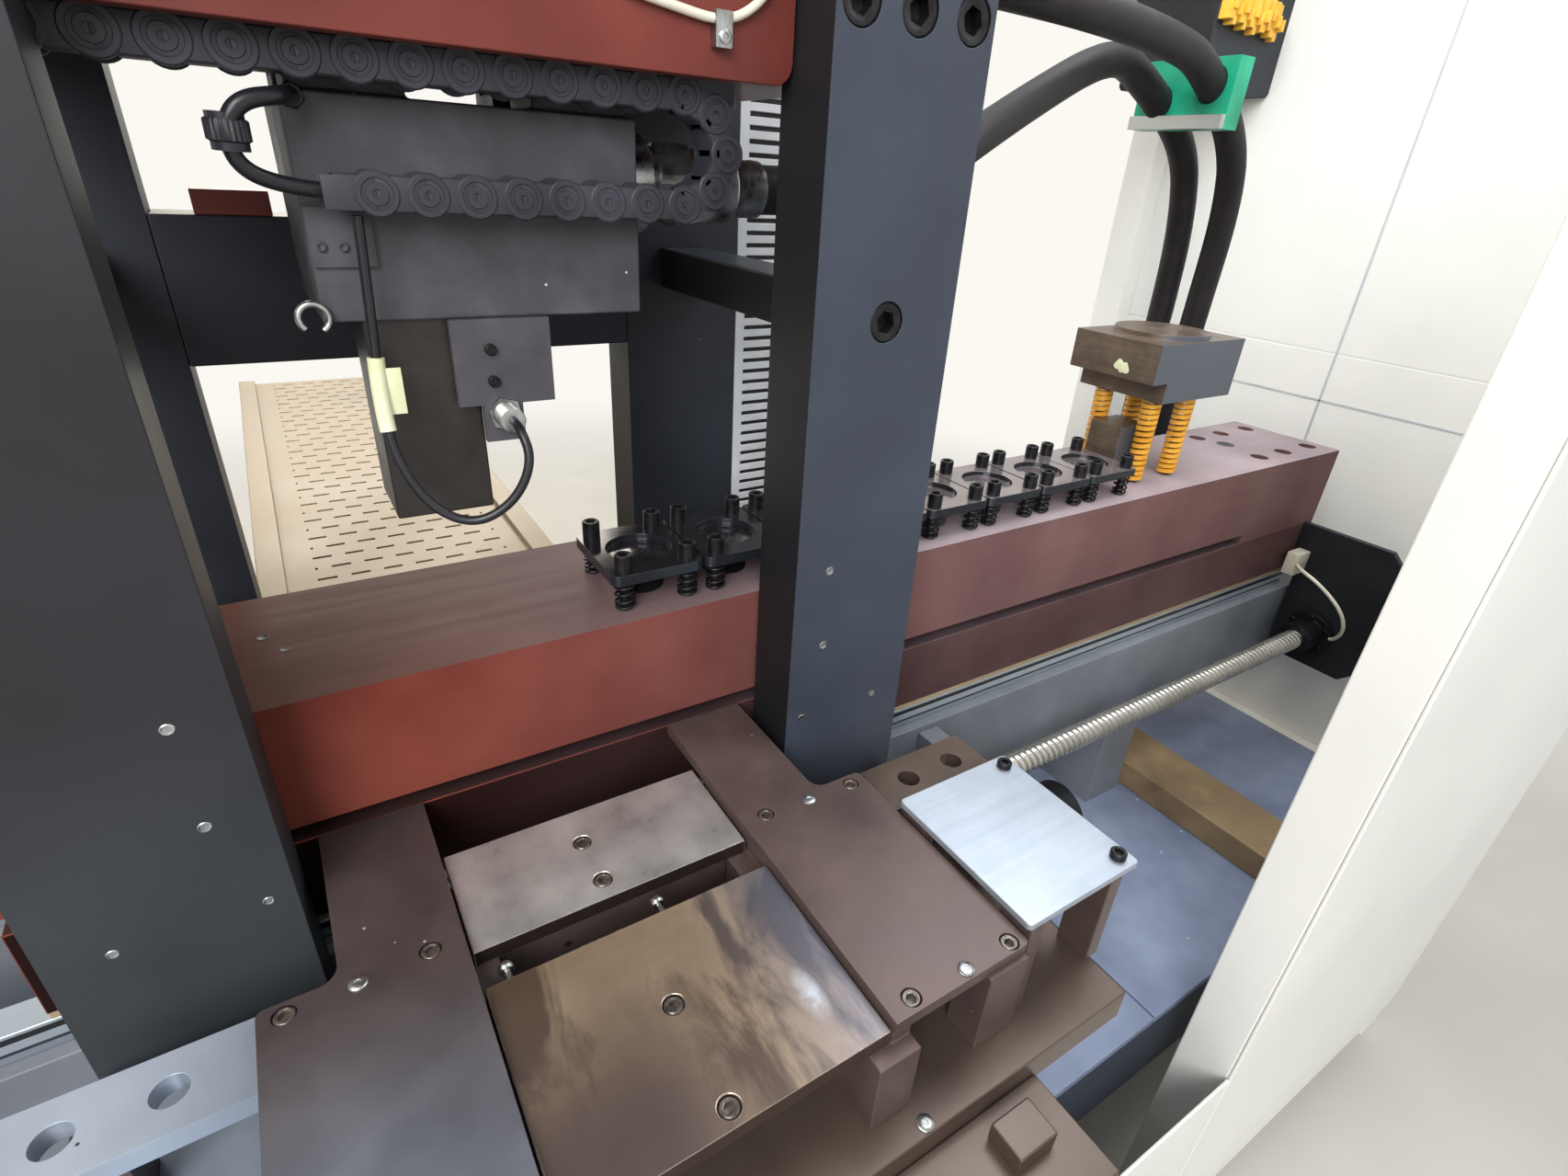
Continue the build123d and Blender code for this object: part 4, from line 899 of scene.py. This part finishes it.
# Infeed table.
# Plates of blackened and oiled steel on stepped walls, worn smooth by the busbars that slide over them.
# Black oxide under oil: warm dark brown with pale flecks of swarf and dark drips, and toned pale blue-grey
# towards the front as a painted sheen.
table_oxide = machined(
    "blackened_steel_oiled", [(0.3, "#3a3132"), (0.5, "#483e3e"), (0.7, "#584c4a")], 110, (0.34, 0.5),
    (40, 40, 40), metallic=0.3,
    changes=[("Y", -0.7, -0.9, [(0.3, "#5a606a"), (0.7, "#7a8494")]),
             ("X", -0.2, 0.1, [(0.3, "#4c3f3c"), (0.5, "#5a4b47"), (0.7, "#695953")])])
flecked(table_oxide, 17, 0.06, 0.3, "#b0a49f")
flecked(table_oxide, 52, 0.06, 0.35, "#2c2423")
dress("table_plates", table_oxide, 1.2)
# Milled steel under oil: pale blue-grey and smooth at the left, and brown with oil at the right.
base_oxide = machined(
    "milled_steel_oiled", [(0.3, "#8c96a4"), (0.7, "#a9b3c1")], 140, (0.3, 0.42), (60, 60, 60),
    metallic=0.4, changes=[("X", -0.3, -0.05, [(0.3, "#4c4038"), (0.7, "#64564c")])])
flecked(base_oxide, 40, 0.06, 0.3, "#3a3230")
dress("base_plates", base_oxide, 1.5)
dress("infeed_walls", table_oxide, 1.2)
dress("side_bars", base_oxide, 1.2)

# Infeed plate.
# A bare steel plate, screwed down between the table plates.
# Worn steel: tan clouds with long dark runs of oil, a painted blue sheen near the right side, darker at the
# operator's left front, a pale painted highlight near the front, and painted shade on its front face.
infeed_steel, add, shader, place = blank("bare_steel_worn_and_stained")
spot = add("SeparateXYZ", {"Vector": place})
cloud = patches(add, place, 80, 7.0, 0.65)
worn = add("ValToRGB", {"Fac": cloud}, [(0.3, "#85725f"), (0.5, "#98846e"), (0.7, "#ab967e")])
runs = patches(add, place, (45, 170, 45), 5.0, 0.6, distortion=0.7)
stains = add("MapRange", spread(runs, 0.48, 0.6, high=0.85))
stained = add("Mix", {0: stains, 6: worn, 7: "#45372e"}, data_type="RGBA")
# Painted blue sheen near the right side.
blue_sheen_share = add("MapRange", spread(spot.outputs["X"], 0.03, 0.11, high=0.45))
with_blue_sheen = add("Mix", {0: blue_sheen_share, 6: stained, 7: "#5f6f8c"}, data_type="RGBA")
# Darker towards the front left.
to_front, to_left = [
    add("MapRange", spread(spot.outputs[axis], start, end), interpolation_type="SMOOTHSTEP")
    for axis, start, end in (("Y", -0.74, -0.88), ("X", 0.07, -0.05))]
front_left_share = add("Math", {0: to_front, 1: to_left}, operation="MULTIPLY")
darker = add("Mix", {0: front_left_share, 6: with_blue_sheen, 7: "#574b48"}, data_type="RGBA")
# A pale painted highlight patch near the front, broken up by the clouds.
highlight_x, highlight_y, narrowed = 0.076, -0.849, 2.4
about_highlight = add("Mapping", {
    "Vector": place, "Location": (-highlight_x * narrowed, -highlight_y, 0), "Scale": (narrowed, 1, 0)})
from_highlight = add("VectorMath", {0: about_highlight}, operation="LENGTH")
close = add("MapRange", spread(from_highlight, 0.024, 0.008))
patchy = add("MapRange", spread(cloud, 0.42, 0.56, high=0.8))
painted_highlight_share = add("Math", {0: close, 1: patchy}, operation="MULTIPLY")
brushed = patches(add, place, (1.5, 90, 1.5), 2.0)
add(shader, {
    "Base Color": add("Mix", {0: painted_highlight_share, 6: darker, 7: "#c8d0da"}, data_type="RGBA"),
    "Metallic": 0.5,
    "Roughness": add("MapRange", spread(runs, 0.3, 0.7, 0.34, 0.44)),
    "Normal": add("Bump", {"Height": brushed, "Strength": 0.02, "Distance": 0.0003})})
# Painted shade on the plate's front face.
painted_side_light(infeed_steel, "Y", -1, "#4a3e38")
# The plate's edges are worn bare and smooth by the busbars, and painted in a paler tan that also stands for
# their highlight line.
worn_highlit_edge = machined(
    "steel_edge_worn_with_painted_highlight", [(0.35, "#988a7c"), (0.65, "#b4a698")], 30, (0.2, 0.32), (8, 8, 8),
    metallic=0.8)
dress("infeed_plate", infeed_steel, 1.0, worn_highlit_edge)

# Shear plate and stop pins.
# A bright ground plate in front of the die beam, with small turned pins in the slot before it.
# Ground steel, bare: silvery with faint warm stains, painted dark shade on its front, and almost white on
# its edges as wear and a painted highlight.
shear_steel = machined(
    "ground_steel_bare", [(0.3, "#8a8684"), (0.5, "#a8a4a2"), (0.7, "#c2beba")], 48, (0.24, 0.38),
    (40, 90, 40), metallic=0.55)
# Painted shade on the plate's front face.
painted_side_light(shear_steel, "Y", -1, "#3a302d")
worn_highlit_ground_edge = machined(
    "ground_steel_edge_worn_with_painted_highlight", [(0.35, "#c8c2ba"), (0.65, "#e0dad2")], 30, (0.2, 0.3), (8, 8, 8),
    metallic=0.8)
dress("shear_plate", shear_steel, 1.0, worn_highlit_ground_edge)
mesh = bmesh.new()
for x in (-90, 21):
    turned(mesh, (x, -263, 913), (0, -1, 0), [
        (0, 0), (5, 0), (5.6, 1), (5.6, 4), (4.6, 5.4), (2.4, 5.6), (2.4, 16), (0, 16)], 28)
for x, y, level in ((172, -242, 928), (175, -431, 928), (-175, -242, 928), (126, -463, 842)):
    turned(mesh, (x, y, level), (0, 0, 1), [
        (0, 0), (6, 0), (6, 0.9), (5.2, 1.5), (2.2, 1.5), (1.8, 0.8), (0, 0.8)], 28)
piece("stop_and_dowel_pins", mesh, "frame", zinc, ["table_pins"])

# Cover plate.
# Bare aluminium sheet on four standoffs over the screw's drive.
# Brushed aluminium: pale blue-grey, with long strokes along its length.
aluminium = machined(
    "aluminium_brushed", [(0.35, "#9aa3af"), (0.65, "#b4bcc8")], 160, (0.3, 0.42), (140, 6, 6),
    metallic=0.6)
dress("cover_plate", aluminium, 0.8)

# Punch head and ram.
# The head block hangs from two short rails under the crown and holds the square ram.
# Enamel on a machined casting: dark grey, mottled over 45 mm, with small pale chips.
head_enamel = coated(
    "dark_grey_enamel_on_casting", [(0.3, "#3f3d41"), (0.55, "#4d4b50"), (0.75, "#5e5b61")], 45,
    (0.4, 0.6), 3.5, 0.2)
flecked(head_enamel, 24, 0.045, 0.5, "#c8c6c6")
dress("head_block", head_enamel, 2.0)
# Blackened steel: the ram is bare, brown-black and oily, with fine lines across it.
ram_steel = machined(
    "blackened_steel_ram", [(0.35, "#262221"), (0.65, "#363130")], 40, (0.3, 0.46), (20, 20, 2),
    relief=0.15, metallic=0.3)
dress("ram", ram_steel, 2.0)

# Proximity sensor on its bracket.
# A threaded brass barrel, nickel-plated, is held by two thin nuts in a bent steel plate.
dress("sensor_bracket", head_enamel, 1.0)
mesh = bmesh.new()
ridges = []
for i in range(37):
    ridges += [(9.0, 0.5 + i), (8.5, 1.0 + i)]
turned(mesh, (-4, -92, 1236), (0, 1, 0), [(0, 0), (8.5, 0), *ridges, (8.5, 55), (8.0, 56), (0, 56)], 28)
for start in (-74, -62):
    turned(mesh, (-4, start, 1236), (0, 1, 0), [(9, 0), (hexagon(21), 0), (hexagon(21), 6), (9, 6)], 24)
piece("sensor_barrel", mesh, "punch_head", zinc, ["proximity_sensor"])
mesh = bmesh.new()
for z in (1259, 1281):
    cap_screw(mesh, (-9, -68, z), (0, -1, 0), 8, 4)
piece("bracket_screws", mesh, "punch_head", black_oxide)

# Chain bracket and lifting eye.
# A painted plate on the head's face holds the chain's last link, and a plated wire eye hangs below it.
mesh = bmesh.new()
bar(mesh, (-106, -65, 1334), (-70, -62, 1368), 0.6)
for x in (-100, -88):
    cap_screw(mesh, (x, -65, 1346), (0, -1, 0), 6, 2.5)
piece("chain_bracket", mesh, "punch_head", head_enamel)
eye_radius = 8.5
eye = [at(-112 + eye_radius * cos(radians(a)), -66, 1305 + eye_radius * sin(radians(a)))
       for a in range(-60, 236, 8)]
mesh = bmesh.new()
tube(mesh, eye, 0.002, 12)
piece("lifting_eye", mesh, "punch_head", zinc)

# Outfeed table.
# A sheet deck punched with staggered slots lies between two side channels on stands.
# Sprayed primer on thin sheet: tan, and dusty in drifts.
deck_zinc = coated("primed_sheet_sprayed", [(0.3, "#927e62"), (0.7, "#ad987a")], 160, (0.3, 0.46), 1.6, 0.1)
deck_left, deck_right, deck_near, deck_far, deck_top = -180, 110, 262, 1466, 920
punched_left, punched_right, slot_long, slot_wide, slot_pitch, row_pitch = -160, 96, 22, 6, 38, 34
first_slot, first_row, stagger = deck_left + 14, deck_near + 20, slot_pitch // 2
slot_ends = {first_slot + stagger * i + end for i in range(14) for end in (0, slot_long)}
across = [deck_left] + sorted(x for x in slot_ends if x < 104) + [deck_right]
rows = [first_row + row_pitch * i for i in range(35)]
along = [deck_near] + [y + end for y in rows for end in (0, slot_wide)] + [deck_far]
mesh = bmesh.new()
sheet = {(x, y): mesh.verts.new(at(x, y, deck_top)) for x in across for y in along}
for i, (y, y_next) in enumerate(zip(along, along[1:])):
    for x, x_next in zip(across, across[1:]):
        shift = (x - first_slot - stagger * (i // 2 % 2)) % slot_pitch
        if i % 2 and punched_left < x and x_next < punched_right and shift < slot_long:
            continue
        mesh.faces.new((sheet[x, y], sheet[x_next, y], sheet[x_next, y_next], sheet[x, y_next]))
bmesh.ops.delete(mesh, geom=[v for v in mesh.verts if not v.link_faces], context="VERTS")
bmesh.ops.solidify(mesh, geom=mesh.faces, thickness=0.004)
piece("deck_sheet", mesh, "frame", deck_zinc, ["outfeed_deck"], crease=20)
dress("outfeed_frame", deck_zinc, 1.5)

# Bed and feet.
# A welded frame of square tube under cover plates, on threaded levelling feet with round pads.
# Blue-grey enamel, sprayed: cool and half glossy, with pale flecks of dust and swarf.
bed_enamel = coated("blue_grey_enamel_sprayed", [(0.3, "#6b758c"), (0.7, "#8892aa")], 110, (0.34, 0.5))
flecked(bed_enamel, 36, 0.07, 0.3, "#a4aaba")
dress("bed_plates", bed_enamel, 1.5)
dress("bed_frame", post_enamel, 2.0)
mesh = bmesh.new()
for x in (1310, 268):
    for side in (-1, 1):
        for y in (-350, 350):
            turned(mesh, (side * x, y, 0), (0, 0, 1), [
                (0, 0), (41, 0), (42, 1), (42, 9), (36, 13), (18, 14), (12, 14), (12, 30),
                (hexagon(36), 31), (hexagon(36), 46), (12, 47), (12, 60), (0, 60)], 36)
piece("levelling_feet_studs", mesh, "frame", zinc, ["levelling_feet"])
# Tan primer on the loose cross tube: dull and uneven.
tan_enamel = coated("tan_primer_on_tube", [(0.3, "#74604a"), (0.7, "#9c8666")], 90, (0.45, 0.65), 2.0, 0.2)
dress("cross_tube", tan_enamel, 3.0)

# Guard.
# Folded steel sheets on a square-tube frame. One side of the front is open to the infeed table.
# White powder coat, baked: warm white and half glossy, with a fine orange peel.
powder = coated("white_powder_coat_baked", [(0.3, "#e6e6e0"), (0.7, "#f0efe9")], 300, (0.36, 0.5), 1.2, 0.1)
dress("enclosure_frame", powder, 2.5)
dress("side_walls", powder, 1.0)
dress("front_panel", powder, 1.2)
dress("upper_panels", powder, 0.0)
# Silicone, smoothed wet: a thin grey bead where the wall's sheets meet.
sealant = moulded("silicone_bead_smoothed", ("#b8bcbf", "#c4c8ca"), 0.5, 3.0, 0.05)
mesh = bmesh.new()
for side in (-1, 1):
    x_low, x_high = sorted((side * 1399.4, side * 1400.4))
    bar(mesh, (x_low, 3, 620), (x_high, 7, 1790), 0.3)
    bar(mesh, (x_low, -440, 1099), (x_high, 440, 1103), 0.3)
piece("wall_joint_beads", mesh, "frame", sealant)
# The gap between the wall's upper and lower sheets is filled flush and painted over.
mesh = bmesh.new()
for x_low, x_high in ((-1403.6, -1400.4), (1400.4, 1403.6)):
    bar(mesh, (x_low, -420, 1178.6), (x_high, 415, 1181.4))
piece("wall_joint_filler", mesh, "frame", powder)

# Terminal box.
# A dark enamelled box on the right wall, with a rail of yellow screw terminals under its edge.
dress("terminal_box", post_enamel, 2.0)
# Moulded polyamide: warm yellow and half glossy.
terminal = moulded("polyamide_terminals_moulded", ("#d8a024", "#f0bc48"), 0.4, 2.0, 0.05)
rail_start, terminal_pitch = 1203, 15.5
sizes = ((13, 0), (9, 6), (15, 2), (9, 9), (12, 4), (9, 12), (14, 7), (9, 3), (13, 10), (9, 14))
mesh = bmesh.new()
for i, (width, drop) in enumerate(sizes):
    start = rail_start + terminal_pitch * i
    bar(mesh, (start, 236 + drop / 2, 1648 - drop), (start + width, 256, 1690 - drop / 2), 1.2)
    bar(mesh, (start + 2, 232, 1660 - drop), (start + width - 2, 237 + drop / 2, 1676 - drop), 0.8)
piece("terminal_rail", mesh, "frame", terminal)
